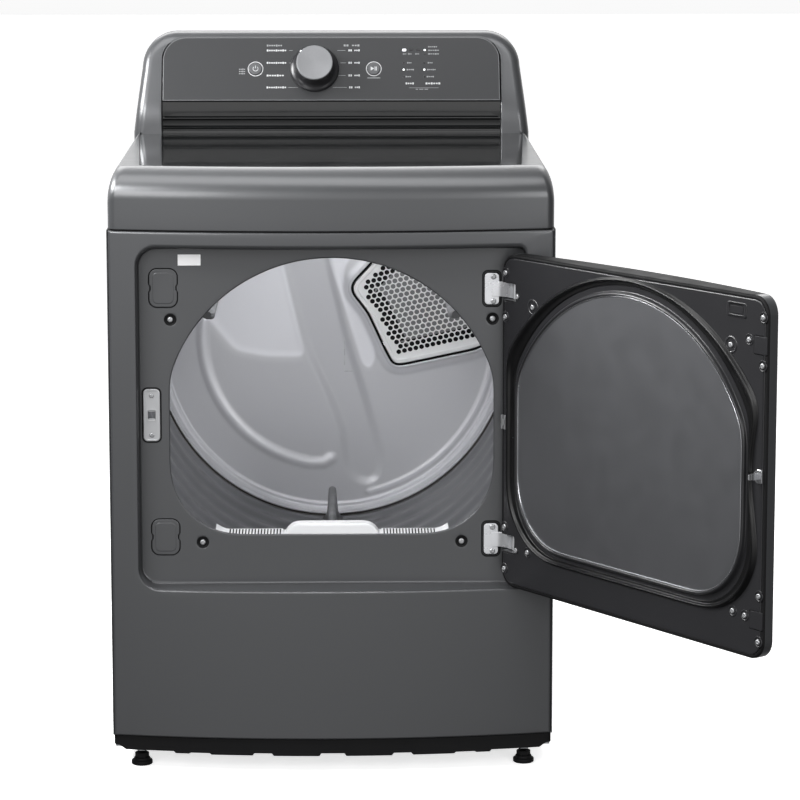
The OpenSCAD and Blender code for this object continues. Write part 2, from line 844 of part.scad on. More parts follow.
module door_gasket() {
    color([0.05, 0.05, 0.05]) in_frame() in_door() slab_y(liner_y + 0.1, liner_y + 3.4) difference() {
        seal_outer();
        union() {
            seal_inner();
            translate([-300, 540]) square([34, 36]);
        }
    }
}

module door_strike() {
    color(steel) in_frame() in_door() {
        slab_y(liner_y + 0.1, liner_y + 2.1) rounded(-288, -270, 545, 571, 3);
        slab_y(liner_y + 2, floor_y + 9) polygon([[-279, 554], [-275, 554], [-275, 562], [-279, 562]]);
    }
}

module door_edge_caps() {
    color([0.04, 0.04, 0.04]) in_frame() in_door() for (z = hinge_z)
        slab_y(liner_y + 0.1, liner_y + 1.6) rounded(-door_half_w + 0.5, -266, z - 14, z + 14, 3);
}

module hinge_brackets() {
    color(steel) in_frame() for (z = hinge_z) {
        slab_y(floor_y - 3, floor_y - 0.2) rounded(235, 262, z - 25, z + 25, 4);
        difference() {
            union() {
                translate([0, 0, z - 12]) linear_extrude(height = 24) polygon([
                    [255, floor_y - 0.3], [263, floor_y - 0.3], [284, pivot[1] + 1.5],
                    [278.5, pivot[1] - 1.5], [262, floor_y - 6.4], [255, floor_y - 3]
                ]);
                translate([pivot[0], pivot[1], z - 12]) cylinder(r = 4.6, h = 24);
            }
            translate([pivot[0], pivot[1], z - 13]) cylinder(r = 2.25, h = 26);
        }
    }
}

module hinge_pins() {
    color(steel) in_frame() in_door() for (z = hinge_z) {
        translate([pivot[0], pivot[1], z - 22]) cylinder(r = 2.2, h = 44);
        for (e = [-18.5, 15.5]) translate([262, pivot[1] - 3, z + e]) cube([26, 12, 3]);
    }
}

module door_screws() {
    color(steel) in_frame() in_door() for (p = door_screw_at)
        rod_y(p[0], p[1], screw_r, liner_y - 2.5, liner_y + 1.5);
}

// ---- Fittings on the recess floor ----

module latch_plate() {
    color(steel) in_frame() difference() {
        slab_y(floor_y - 1.6, floor_y - 0.1) rounded(latch_at[0] - 12.8, latch_at[0] + 12.8,
            latch_at[1] - 40.8, latch_at[1] + 40.8, 6.5);
        slab_y(floor_y - 5, floor_y + 1) translate([latch_at[0] - 6, latch_at[1] - 7.5]) square([15.5, 15]);
    }
}

module blanking_plates() {
    color(paint) in_frame() for (z = blank_z)
        slab_y(floor_y - 1.8, floor_y - 0.1) rounded(blank_x[0], blank_x[1], z[0], z[1], 12);
}

module cabinet_screws() {
    color(steel) in_frame() {
        for (p = floor_screws) rod_y(p[0], p[1], screw_r, floor_y - 2.4, floor_y + 4);
        for (z = [-31, 31]) rod_y(latch_at[0], latch_at[1] + z, 3.5, floor_y - 3.4, floor_y + 4);
        for (z = hinge_z, e = [-19, 19]) rod_y(249, z + e, screw_r, floor_y - 5, floor_y + 4);
        for (x = [-320, 320], z = [90, 300, 500, 700, 830])
            rod_y(x, z, screw_r, back_y - 8, back_y + 1.2);
    }
}

module terminal_block() {
    color(dark) in_frame() {
        translate([terminal_x - 35, back_y - 34, terminal_z]) cube([70, 30.8, 44]);
        for (x = [-22, 0, 22]) rod_y(terminal_x + x, terminal_z + 22, 3, back_y - 46, back_y - 33);
    }
}

side_panel_left();
side_panel_right();
rear_panel();
base_pan();
kick_plate();
front_panel();
top_cover();
foot_front_left();
foot_front_right();
foot_rear_left();
foot_rear_right();
foot_lock_nuts();
console_housing();
console_rear_cover();
control_panel();
control_board();
indicator_lights();
dial_knob();
rotary_switch();
power_button();
start_button();
front_bulkhead();
rear_bulkhead();
inlet_grille();
drum_shell();
drum_lifters();
drum_felts();
drum_belt();
motor();
motor_bracket();
motor_shaft();
blower_housing();
blower_wheel();
idler_arm();
idler_pulley();
idler_spring();
roller_front_left();
roller_front_right();
roller_rear_left();
roller_rear_right();
roller_axles();
heater_box();
heater_coil();
exhaust_duct();
exhaust_collar();
lint_filter();
filter_housing();
door_outer_panel();
door_liner();
door_inner_panel();
door_gasket();
door_strike();
door_edge_caps();
hinge_brackets();
hinge_pins();
latch_plate();
blanking_plates();
cabinet_screws();
door_screws();
terminal_block();
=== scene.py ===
# A front-loading clothes dryer with its door standing open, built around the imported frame.
# Sizes are in the cabinet's millimetres: X from its centre line, Y from its middle to the
# rear, Z from the floor; put() takes them to the frame.
import json
from math import acos, asin, cos, degrees, pi, radians, sin, sqrt

import bmesh
import bpy
import numpy as np
from mathutils import Euler, Matrix, Vector
from mathutils.geometry import tessellate_polygon

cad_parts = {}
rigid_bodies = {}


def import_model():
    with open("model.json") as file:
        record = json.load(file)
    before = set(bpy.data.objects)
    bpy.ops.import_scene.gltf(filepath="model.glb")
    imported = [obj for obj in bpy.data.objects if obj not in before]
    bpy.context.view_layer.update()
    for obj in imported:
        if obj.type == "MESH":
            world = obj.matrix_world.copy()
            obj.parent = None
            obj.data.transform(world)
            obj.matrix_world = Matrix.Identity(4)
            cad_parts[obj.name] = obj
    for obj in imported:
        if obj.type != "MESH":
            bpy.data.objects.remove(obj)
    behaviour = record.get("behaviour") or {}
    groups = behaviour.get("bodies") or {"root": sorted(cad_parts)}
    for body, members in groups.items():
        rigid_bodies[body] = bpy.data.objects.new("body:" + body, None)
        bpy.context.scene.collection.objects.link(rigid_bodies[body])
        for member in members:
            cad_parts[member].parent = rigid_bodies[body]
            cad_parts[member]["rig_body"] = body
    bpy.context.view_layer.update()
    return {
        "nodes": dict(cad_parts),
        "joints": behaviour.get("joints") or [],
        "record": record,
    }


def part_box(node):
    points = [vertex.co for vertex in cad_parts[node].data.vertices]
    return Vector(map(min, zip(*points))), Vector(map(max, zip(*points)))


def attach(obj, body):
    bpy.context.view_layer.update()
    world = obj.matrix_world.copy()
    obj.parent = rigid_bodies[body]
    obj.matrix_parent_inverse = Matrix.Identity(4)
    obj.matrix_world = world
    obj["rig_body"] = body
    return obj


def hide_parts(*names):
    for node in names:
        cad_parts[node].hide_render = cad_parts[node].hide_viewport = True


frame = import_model()
nodes = frame["nodes"]

# ---------------------------------------------------------------- places
OX = (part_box("side_panel_left")[0].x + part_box("side_panel_right")[1].x) / 2
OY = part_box("rear_panel")[1].y - 0.339
FRONT, BOW = -367.0, 1799.0           # foremost line of the bowed front, and its radius
FLOOR_Y, LINER_Y = -313.0, -322.0     # recess floor; door liner's face with the door shut
REAR_Y = 339.1                        # just behind the rear panel
DRUM_Z = 590.0                        # drum's axis
HINGE_Z = (754.0, 361.0)
PIN_X, PIN_Y = 281, -338
SPARE_Z = (743.5, 351)                # spare hinge places on the door's other edge
LATCH = (-278.0, 558.0)
FLOOR_SCREWS = [(-248, 707), (248, 707), (-201, 357), (201, 357)]
BLANKS = [(-279.6, -237.2, 726.6, 785.4), (-279.6, -237.2, 337.6, 393.4)]

# the door's pieces are drawn shut; this opens them as far as the frame's own door stands
hinge = next(j for j in frame["joints"] if j["name"] == "door_hinge")
door_pivot = Vector(hinge["pos_m"])
door_turn = radians(-hinge["range_deg"][0])
OPEN_DOOR = (Matrix.Translation(door_pivot) @ Matrix.Rotation(door_turn, 4, "Z")
             @ Matrix.Translation(-door_pivot))


def put(x, y, z):
    """A place in the cabinet's millimetres, taken to the frame's metres."""
    return Vector((OX + x / 1000, OY + y / 1000, z / 1000))


def bow(x):
    """Y of the bowed front at x."""
    return FRONT + BOW - sqrt(BOW * BOW - x * x)


# ---------------------------------------------------------------- camera, lights, floor
scene = bpy.context.scene
scene.view_settings.view_transform = "Standard"
cam = bpy.data.objects.new("camera", bpy.data.cameras.new("camera"))
scene.collection.objects.link(cam)
cam.data.sensor_width = 36
cam.data.lens = 143.94
cam.data.shift_y = -0.1
cam.data.clip_end = 60
cam.location = put(10.6, -5177, 1458.4)
looks_down, looks_right = 8.798, 1.116
cam.rotation_euler = Euler((radians(90 - looks_down), 0, radians(-looks_right)))
scene.camera = cam


def area_light(name, place, target, width, height, power):
    """A white rectangle of light; places and sizes in metres, power in watts."""
    data = bpy.data.lights.new(name, "AREA")
    data.shape, data.size, data.size_y = "RECTANGLE", width, height
    data.energy = power
    obj = bpy.data.objects.new(name, data)
    scene.collection.objects.link(obj)
    obj.location = place
    obj.rotation_euler = (Vector(target) - Vector(place)).to_track_quat("-Z", "Y").to_euler()


def studio():
    """A white world: bright behind the machine, a soft card in front of it, darker below."""
    world = bpy.data.worlds.new("studio")
    scene.world = world
    world.use_nodes = True
    tree = world.node_tree
    background = tree.nodes["Background"]
    background.inputs["Color"].default_value = (1, 1, 1, 1)
    coords = tree.nodes.new("ShaderNodeTexCoord")
    axes = tree.nodes.new("ShaderNodeSeparateXYZ")
    tree.links.new(coords.outputs["Generated"], axes.inputs["Vector"])

    def spread(axis, start, end, low, high):
        node = tree.nodes.new("ShaderNodeMapRange")
        node.interpolation_type = "SMOOTHSTEP"
        for key, value in (("From Min", start), ("From Max", end), ("To Min", low),
                           ("To Max", high)):
            node.inputs[key].default_value = value
        tree.links.new(axes.outputs[axis], node.inputs["Value"])
        return node.outputs["Result"]

    def combine(operation, a, b):
        node = tree.nodes.new("ShaderNodeMath")
        node.operation = operation
        tree.links.new(a, node.inputs[0])
        tree.links.new(b, node.inputs[1])
        return node.outputs["Value"]

    behind = spread("Y", 0.15, 0.65, 0.14, 1.0)
    card = spread("Y", -1.0, -0.72, 1.25, 0.0)
    below = spread("Z", -0.34, 0.0, 0.35, 1.0)
    strength = combine("MULTIPLY", combine("ADD", behind, card), below)
    tree.links.new(strength, background.inputs["Strength"])


studio()
area_light("overhead", (-0.2, -0.6, 3.4), (0, -0.1, 0.9), 3.2, 1.4, 58)
area_light("back_top", (-0.1, 2.5, 2.75), (0, -0.1, 0.9), 3.2, 1.2, 42)
area_light("front_left", (-2.0, -4.0, 2.4), (0, 0, 0.6), 1.4, 1.8, 74)
area_light("front_right", (2.2, -3.8, 1.6), (0.2, 0, 0.6), 1.0, 1.8, 40)
area_light("left_side", (-1.6, 0.0, 1.7), (0.2, -0.25, 0.8), 0.7, 0.5, 52)
area_light("left_near", (-1.2, -0.95, 1.8), (0.2, -0.3, 0.7), 0.5, 0.5, 22)
area_light("drum_lamp", put(-20, -222, 866), put(0, 240, 520), 0.34, 0.07, 2.6)


# ---------------------------------------------------------------- materials
def srgb(*levels):
    """Linear colour of a screen colour in 0 to 255."""
    return tuple((v / 12.92 if v <= 0.04045 else ((v + 0.055) / 1.055) ** 2.4)
                 for v in (k / 255 for k in levels)) + (1,)


def material(name, color, metallic=0.0, rough=0.4, coat=0.0, coat_rough=0.08, tint=0.10,
             tint_scale=9.0, rough_var=0.06, grain=1200.0, bump=0.08, depth=0.00006, specular=0.5,
             aniso=0.0, cell=None, emit=0.0, sheen=0.0, painted_light=0.0):
    """Principled surface; colour drifts by tint over tint_scale, gloss by rough_var, relief over
    grain. With cell, colour follows spangles of that scale. The last argument, with the mesh's
    field of the same name, paints light and shade into the colour, lightening or darkening it by
    that share."""
    m = bpy.data.materials.new(name)
    m.use_nodes = True
    t = m.node_tree
    p = t.nodes["Principled BSDF"]
    for key, value in (("Metallic", metallic), ("Coat Weight", coat),
                       ("Coat Roughness", coat_rough), ("Specular IOR Level", specular),
                       ("Anisotropic", aniso), ("Sheen Weight", sheen)):
        p.inputs[key].default_value = value
    if emit:
        p.inputs["Emission Color"].default_value = color
        p.inputs["Emission Strength"].default_value = emit
    coords = t.nodes.new("ShaderNodeTexCoord")
    source = coords.outputs["Object"]

    def noise(scale, detail=2.0):
        n = t.nodes.new("ShaderNodeTexNoise")
        n.inputs["Scale"].default_value = scale
        n.inputs["Detail"].default_value = detail
        t.links.new(source, n.inputs["Vector"])
        return n.outputs["Fac"]

    def spread(fac, low, high):
        r = t.nodes.new("ShaderNodeMapRange")
        r.inputs["From Min"].default_value, r.inputs["From Max"].default_value = 0.3, 0.7
        r.inputs["To Min"].default_value, r.inputs["To Max"].default_value = low, high
        t.links.new(fac, r.inputs["Value"])
        return r.outputs["Result"]

    mix = t.nodes.new("ShaderNodeMix")
    mix.data_type = "RGBA"
    mix.inputs["A"].default_value = tuple(v * (1 - tint) for v in color[:3]) + (1,)
    mix.inputs["B"].default_value = tuple(min(1, v * (1 + tint)) for v in color[:3]) + (1,)
    fac = noise(tint_scale)
    if cell:
        v = t.nodes.new("ShaderNodeTexVoronoi")
        v.inputs["Scale"].default_value = cell
        t.links.new(source, v.inputs["Vector"])
        bw = t.nodes.new("ShaderNodeSeparateColor")
        t.links.new(v.outputs["Color"], bw.inputs["Color"])
        fac = bw.outputs[0]
    t.links.new(fac, mix.inputs["Factor"])
    result = mix.outputs["Result"]
    # painted light and shade: the mesh's field lightens or darkens the colour
    if painted_light:
        field = t.nodes.new("ShaderNodeAttribute")
        field.attribute_name = "painted_light"
        share = t.nodes.new("ShaderNodeMath")
        share.operation = "MULTIPLY_ADD"
        share.inputs[1].default_value, share.inputs[2].default_value = painted_light, 1.0
        t.links.new(field.outputs["Fac"], share.inputs[0])
        scaled = t.nodes.new("ShaderNodeVectorMath")
        scaled.operation = "SCALE"
        t.links.new(result, scaled.inputs[0])
        t.links.new(share.outputs["Value"], scaled.inputs["Scale"])
        result = scaled.outputs["Vector"]
    t.links.new(result, p.inputs["Base Color"])
    t.links.new(spread(noise(30.0, 3.0), max(0.02, rough - rough_var), rough + rough_var),
                p.inputs["Roughness"])
    b = t.nodes.new("ShaderNodeBump")
    b.inputs["Strength"].default_value = bump
    b.inputs["Distance"].default_value = depth
    t.links.new(noise(grain, 3.0), b.inputs["Height"])
    t.links.new(b.outputs["Normal"], p.inputs["Normal"])
    return m


M = {
    # metallic flake enamel under clear coat, with a trace of orange peel
    "paint": material("dark_paint", srgb(74, 75, 77), 0.4, 0.34, coat=0.22, coat_rough=0.16,
                      tint=0.09, tint_scale=2200, rough_var=0.012, grain=420, bump=0.05,
                      depth=0.0001),
    "top": material("top_enamel", srgb(16, 17, 18), 0.1, 0.1, coat=0.4, coat_rough=0.02, tint=0.06,
                    tint_scale=1500, rough_var=0.02, grain=300, bump=0.02),
    "black": material("black_plastic", srgb(9, 9, 10), 0.0, 0.22, coat=0.1, coat_rough=0.06,
                      tint=0.12, rough_var=0.02, specular=0.3, grain=500, bump=0.04),
    "matte_black": material("matte_black", srgb(20, 20, 21), 0.0, 0.6, specular=0.12, tint=0.15,
                            grain=1600, bump=0.2),
    "film": material("console_face", srgb(35, 36, 38), 0.25, 0.42, coat=0.08, tint=0.04,
                     tint_scale=1800, rough_var=0.01, grain=1800, bump=0.05),
    "trim": material("trim", srgb(150, 151, 153), 0.6, 0.3, tint=0.05, grain=1500, bump=0.05),
    "ink": material("ink", srgb(168, 169, 171), 0.0, 0.5, tint=0.06, grain=2500, bump=0.1),
    "faint_ink": material("faint_ink", srgb(122, 123, 125), 0.0, 0.5, tint=0.06, grain=2500,
                          bump=0.1),
    "lamp_lit": material("lamp_lit", srgb(240, 242, 245), 0.0, 0.4, tint=0.02, emit=0.9),
    "lamp_dark": material("lamp_dark", srgb(24, 24, 26), 0.0, 0.2, tint=0.1),
    "cap": material("spun_cap", srgb(112, 113, 115), 0.25, 0.6, specular=0.2, tint=0.05,
                    tint_scale=400, aniso=0.5, grain=2600, bump=0.12),
    "skirt": material("knob_skirt", srgb(34, 34, 36), 0.1, 0.32, tint=0.08, grain=1500, bump=0.1),
    "chrome": material("bright_steel", srgb(212, 213, 216), 0.72, 0.28, tint=0.05, tint_scale=60,
                       rough_var=0.06, grain=900, bump=0.07),
    "zinc": material("galvanised", srgb(168, 170, 173), 0.75, 0.36, tint=0.16, cell=110,
                     rough_var=0.08, grain=700, bump=0.08),
    # the drum back's sheet, which takes painted light and shade from its mesh's field
    "back": material("bulkhead_steel", srgb(176, 177, 182), 0.12, 0.36, coat=0.25, coat_rough=0.2,
                     painted_light=0.5, tint=0.02, tint_scale=700, rough_var=0.01, grain=600, bump=0.02),
    "pale": material("pale_plastic", srgb(216, 217, 219), 0.0, 0.42, tint=0.03, grain=1500,
                     bump=0.12),
    "drum": material("drum_steel", srgb(84, 85, 88), 0.7, 0.3, coat=0.1, tint=0.02, tint_scale=900,
                     rough_var=0.01, grain=300, bump=0.01),
    "lifter": material("lifter_plastic", srgb(84, 85, 87), 0.0, 0.4, tint=0.06, grain=1400,
                       bump=0.15),
    "catch": material("catch_plate", srgb(176, 177, 179), 0.7, 0.36, tint=0.05, tint_scale=60,
                      grain=900, bump=0.08),
    # bright steel for the strike; on the inner panel's rolled edge its light colour is a painted
    # highlight
    "edge": material("bright_steel_and_highlight", srgb(186, 187, 190), 0.9, 0.22, tint=0.05, grain=900,
                     bump=0.05),
    "liner": material("door_liner_black", srgb(36, 36, 38), 0.0, 0.3, coat=0.2, coat_rough=0.08,
                      tint=0.08, specular=0.4, rough_var=0.02, grain=500, bump=0.04),
    "baffle": material("inlet_baffle", srgb(112, 113, 115), 0.3, 0.5, tint=0.05, grain=900,
                       bump=0.05),
    "line": material("face_line", srgb(94, 95, 97), 0.1, 0.5, tint=0.05, grain=1500, bump=0.05),
    "felt": material("felt", srgb(62, 60, 58), 0.0, 0.95, tint=0.3, tint_scale=900, grain=1800,
                     bump=0.9, depth=0.0008, sheen=0.4),
    "rubber": material("belt_rubber", srgb(10, 10, 11), 0.0, 0.33, specular=0.35, tint=0.15,
                       grain=1500, bump=0.2),
    "motor": material("motor_metal", srgb(120, 122, 126), 0.7, 0.45, tint=0.12, grain=400, bump=0.3,
                      depth=0.0003),
    "wire": material("heater_wire", srgb(150, 120, 104), 0.9, 0.4, tint=0.2, tint_scale=200,
                     grain=900),
    "board": material("circuit_board", srgb(18, 82, 44), 0.0, 0.35, tint=0.25, cell=420, grain=900,
                      bump=0.3),
    "panel": material("inner_panel", srgb(110, 111, 114), 0.85, 0.44, coat=0.15, coat_rough=0.25,
                      tint=0.04, tint_scale=900, rough_var=0.02, grain=900, bump=0.04),
    "label": material("blank_label", srgb(252, 252, 253), 0.0, 0.5, tint=0.02, grain=900, bump=0.1),
    "button": material("button_plastic", srgb(70, 71, 73), 0.1, 0.35, tint=0.05, grain=1500,
                       bump=0.1),
}
BY_SLOT = {
    "dark_paint": "paint", "galvanised": "zinc", "black_plastic": "matte_black",
    "console_face": "film", "circuit_board": "board", "light_pipe": "lamp_dark",
    "knob_metal": "cap", "button_plastic": "button", "bulkhead_steel": "back",
    "pale_plastic": "pale", "drum_steel": "drum", "lifter_plastic": "lifter", "felt": "felt",
    "belt_rubber": "rubber", "motor_metal": "motor", "heater_wire": "wire", "inner_panel": "panel",
    "bright_steel": "chrome",
}
for part in frame["record"]["subparts"]:
    obj = nodes[part["node"]]
    obj.data.materials.clear()
    obj.data.materials.append(M[BY_SLOT[part["material_slot"]]])


# ---------------------------------------------------------------- outlines
def arc(cx, cy, r, a0, a1, n=8, ry=None):
    """n steps of a circle, or of an ellipse with ry, from a0 to a1 degrees."""
    ry = r if ry is None else ry
    return [(cx + r * cos(radians(a0 + (a1 - a0) * i / n)),
             cy + ry * sin(radians(a0 + (a1 - a0) * i / n)))
            for i in range(n + 1)]


def rrect(x0, x1, z0, z1, r, n=8):
    """Rounded rectangle, anticlockwise; r is one radius or four, from the lower left corner."""
    a, b, c, d = (r,) * 4 if not isinstance(r, tuple) else r
    return (arc(x0 + a, z0 + a, a, 180, 270, n) + arc(x1 - b, z0 + b, b, 270, 360, n)
            + arc(x1 - c, z1 - c, c, 0, 90, n) + arc(x0 + d, z1 - d, d, 90, 180, n))


def disc(cx, cz, r, n=24):
    """A regular outline of n points on a circle."""
    return [(cx + r * cos(2 * pi * i / n), cz + r * sin(2 * pi * i / n)) for i in range(n)]


def smooth(poly, count, reach):
    """The outline in count even steps, its corners eased over reach."""
    pts = np.array(poly + [poly[0]], float)
    s = np.concatenate([[0], np.cumsum(np.hypot(*np.diff(pts, axis=0).T))])
    u = np.arange(count) * s[-1] / count
    xy = np.stack([np.interp(u, s, pts[:, k]) for k in (0, 1)], 1)
    k = max(1, int(round(reach * count / s[-1])))
    w = np.hanning(2 * k + 3)[1:-1]
    w /= w.sum()
    out = sum(wi * np.roll(xy, j - k, axis=0) for j, wi in enumerate(w))
    return [tuple(p) for p in out]


def arch(w, z0, corner, top_r, top_z, count=220, reach=38):
    """Outline with a flat foot at z0, sides at w and a round top about (0, top_z)."""
    a = degrees(acos(min(1, w / top_r)))
    return smooth(arc(-w + corner, z0 + corner, corner, 180, 270, 24)
                  + arc(w - corner, z0 + corner, corner, 270, 360, 24)
                  + arc(0, top_z, top_r, a, 180 - a, 90), count, reach)


def offset(poly, grow):
    """The anticlockwise outline moved outwards by grow."""
    if not grow:
        return list(poly)
    out, n = [], len(poly)
    for i in range(n):
        (ax, ay), (bx, by), (cx, cy) = poly[i - 1], poly[i], poly[(i + 1) % n]
        u = Vector((bx - ax, by - ay)).normalized()
        v = Vector((cx - bx, cy - by)).normalized()
        t = (u + v).normalized() if (u + v).length > 1e-6 else u
        k = grow / max(0.35, t.dot(u)) if u.length and v.length else grow
        out.append((bx + t.y * k, by - t.x * k))
    return out


def blend_outline(a, b, t):
    """The outline a share t of the way from a to b."""
    return [(p[0] + (q[0] - p[0]) * t, p[1] + (q[1] - p[1]) * t) for p, q in zip(a, b)]


# ---------------------------------------------------------------- meshes
TOP = (False, True)     # caps of a piece that stands on another: none below, one on top


def to_bmesh(points, faces):
    bm = bmesh.new()
    vs = [bm.verts.new(p) for p in points]
    for f in faces:
        f = list(dict.fromkeys(f))
        if len(f) > 2:
            try:
                bm.faces.new([vs[i] for i in f])
            except ValueError:      # the same face twice
                pass
    return bm


class Geo:
    """Points and faces, built up from outlines in the cabinet's millimetres."""

    def __init__(self):
        self.v, self.f = [], []

    def loop(self, pts):
        i = len(self.v)
        self.v += [tuple(p) for p in pts]
        return list(range(i, len(self.v)))

    def band(self, a, b, closed=True):
        n = len(a)
        for i in range(n if closed else n - 1):
            j = (i + 1) % n
            self.f.append((a[i], a[j], b[j], b[i]))

    def rows(self, rows, closed=True):
        """Joins each row of points to the next; closed joins each row's ends too."""
        ids = [self.loop(r) for r in rows]
        for a, b in zip(ids, ids[1:]):
            self.band(a, b, closed)
        return ids

    def fill(self, rings, flat):
        """Caps the area between the first ring and the others; flat gives each ring's outline."""
        ids = [i for r in rings for i in r]
        for tri in tessellate_polygon([[Vector((u, v, 0)) for u, v in f] for f in flat]):
            self.f.append(tuple(ids[i] for i in tri))

    def prism(self, outer, steps, at, holes=(), caps=(True, True)):
        """outer, less holes, through steps of (inset, w); at(u, v, w) gives each place."""
        cols = []
        for poly, sign in [(outer, -1)] + [(h, 1) for h in holes]:
            flats = [offset(poly, sign * i) for i, _ in steps]
            cols.append((flats, self.rows([[at(u, v, w) for u, v in flat]
                                           for flat, (_, w) in zip(flats, steps)])))
        for k, wanted in ((0, caps[0]), (-1, caps[1])):
            if wanted:
                self.fill([ids[k] for _, ids in cols], [flats[k] for flats, _ in cols])

    def wrap(self, outline, steps, at):
        """Rows around an outline, through steps of (growth, w)."""
        return self.rows([[at(u, v, w) for u, v in offset(outline, grow)] for grow, w in steps])

    def lathe(self, profile, at, count=48, closed=False):
        """profile of (r, w) turned about an axis; at(u, v, w) gives each place."""
        ids = self.rows([[at(u, v, w) for u, v in disc(0, 0, r, count)] for r, w in profile])
        if closed:
            self.band(ids[-1], ids[0])
        else:
            for k in (0, -1):
                if profile[k][0] < 0.8:
                    self.f.append(tuple(ids[k]))

    def bend(self, cuts, axis, warp):
        """Cuts the mesh by planes across axis, then moves every point by warp."""
        bm = to_bmesh(self.v, self.f)
        normal = Vector((0, 0, 0))
        normal[axis] = 1
        for c in cuts:
            bmesh.ops.bisect_plane(bm, geom=bm.verts[:] + bm.edges[:] + bm.faces[:],
                                   plane_co=normal * c, plane_no=normal, dist=1e-4)
        bm.verts.index_update()
        self.v = [warp(*v.co) for v in bm.verts]
        self.f = [tuple(v.index for v in f.verts) for f in bm.faces]
        bm.free()


def make(name, geo, mat, body="cabinet", replaces=(), angle=40, weighted=True):
    """A visible piece that rides on body; edges over angle degrees stay sharp."""
    me = bpy.data.meshes.new(name)
    pts = [put(*v) for v in geo.v]
    if body == "door":
        pts = [OPEN_DOOR @ p for p in pts]
    bm = to_bmesh(pts, geo.f)
    bmesh.ops.remove_doubles(bm, verts=bm.verts, dist=2e-6)
    bmesh.ops.recalc_face_normals(bm, faces=bm.faces)
    bm.to_mesh(me)
    bm.free()
    me.materials.append(M[mat])
    me.shade_smooth()
    me.set_sharp_from_angle(angle=radians(angle))
    obj = bpy.data.objects.new(name, me)
    scene.collection.objects.link(obj)
    if weighted:
        mod = obj.modifiers.new("normals", "WEIGHTED_NORMAL")
        mod.keep_sharp = True
        mod.weight = 90
    if replaces:
        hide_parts(*replaces)
    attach(obj, body)
    return obj


def soften(node, mat, width):
    """A copy of a CAD node with its edges rounded over by width millimetres."""
    me = nodes[node].data.copy()
    me.name = node + "_soft"
    bm = bmesh.new()
    bm.from_mesh(me)
    bmesh.ops.remove_doubles(bm, verts=bm.verts, dist=5e-6)
    bmesh.ops.dissolve_limit(bm, angle_limit=radians(1.0), verts=bm.verts, edges=bm.edges)
    bm.to_mesh(me)
    bm.free()
    me.materials.clear()
    me.materials.append(M[mat])
    me.shade_smooth()
    obj = bpy.data.objects.new(node + "_soft", me)
    scene.collection.objects.link(obj)
    bev = obj.modifiers.new("edges", "BEVEL")
    bev.width, bev.segments, bev.limit_method = width / 1000, 2, "ANGLE"
    bev.angle_limit = radians(30)
    mod = obj.modifiers.new("normals", "WEIGHTED_NORMAL")
    mod.keep_sharp = True
    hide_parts(node)
    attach(obj, nodes[node]["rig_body"])


def facing(y, sign=-1):
    """Front-view places: w stands out of the plane y, towards the front for sign -1."""
    return lambda u, v, w: (u, y + sign * w, v)


def flat(u, v, w):
    """Front-view places with Y as w, for a piece that bend() then moves to the bow."""
    return (u, w, v)


def strips(count):
    """Cuts every 14 mm across the bow, count to each side."""
    return [k * 14.0 for k in range(-count, count + 1)]


def lerp(a, b, t):
    return a + (b - a) * t


# ---------------------------------------------------------------- front panel with the door recess
MOUTH = arch(252, 367, 107, 263, 541)
PLUG = dict(w=248, z0=371, corner=98, top_r=273, top_z=505)


def notched(x0, x1, z0, z1, r, bite=2.2):
    """Rounded plate outline with a small bite in the middle of each upright side."""
    zc = (z0 + z1) / 2
    right = [(x1, zc - 6), (x1 - bite, zc - 3), (x1 - bite, zc + 3), (x1, zc + 6)]
    left = [(x0, zc + 6), (x0 + bite, zc + 3), (x0 + bite, zc - 3), (x0, zc - 6)]
    return (arc(x0 + r, z0 + r, r, 180, 270) + arc(x1 - r, z0 + r, r, 270, 360) + right
            + arc(x1 - r, z1 - r, r, 0, 90) + arc(x0 + r, z1 - r, r, 90, 180) + left)


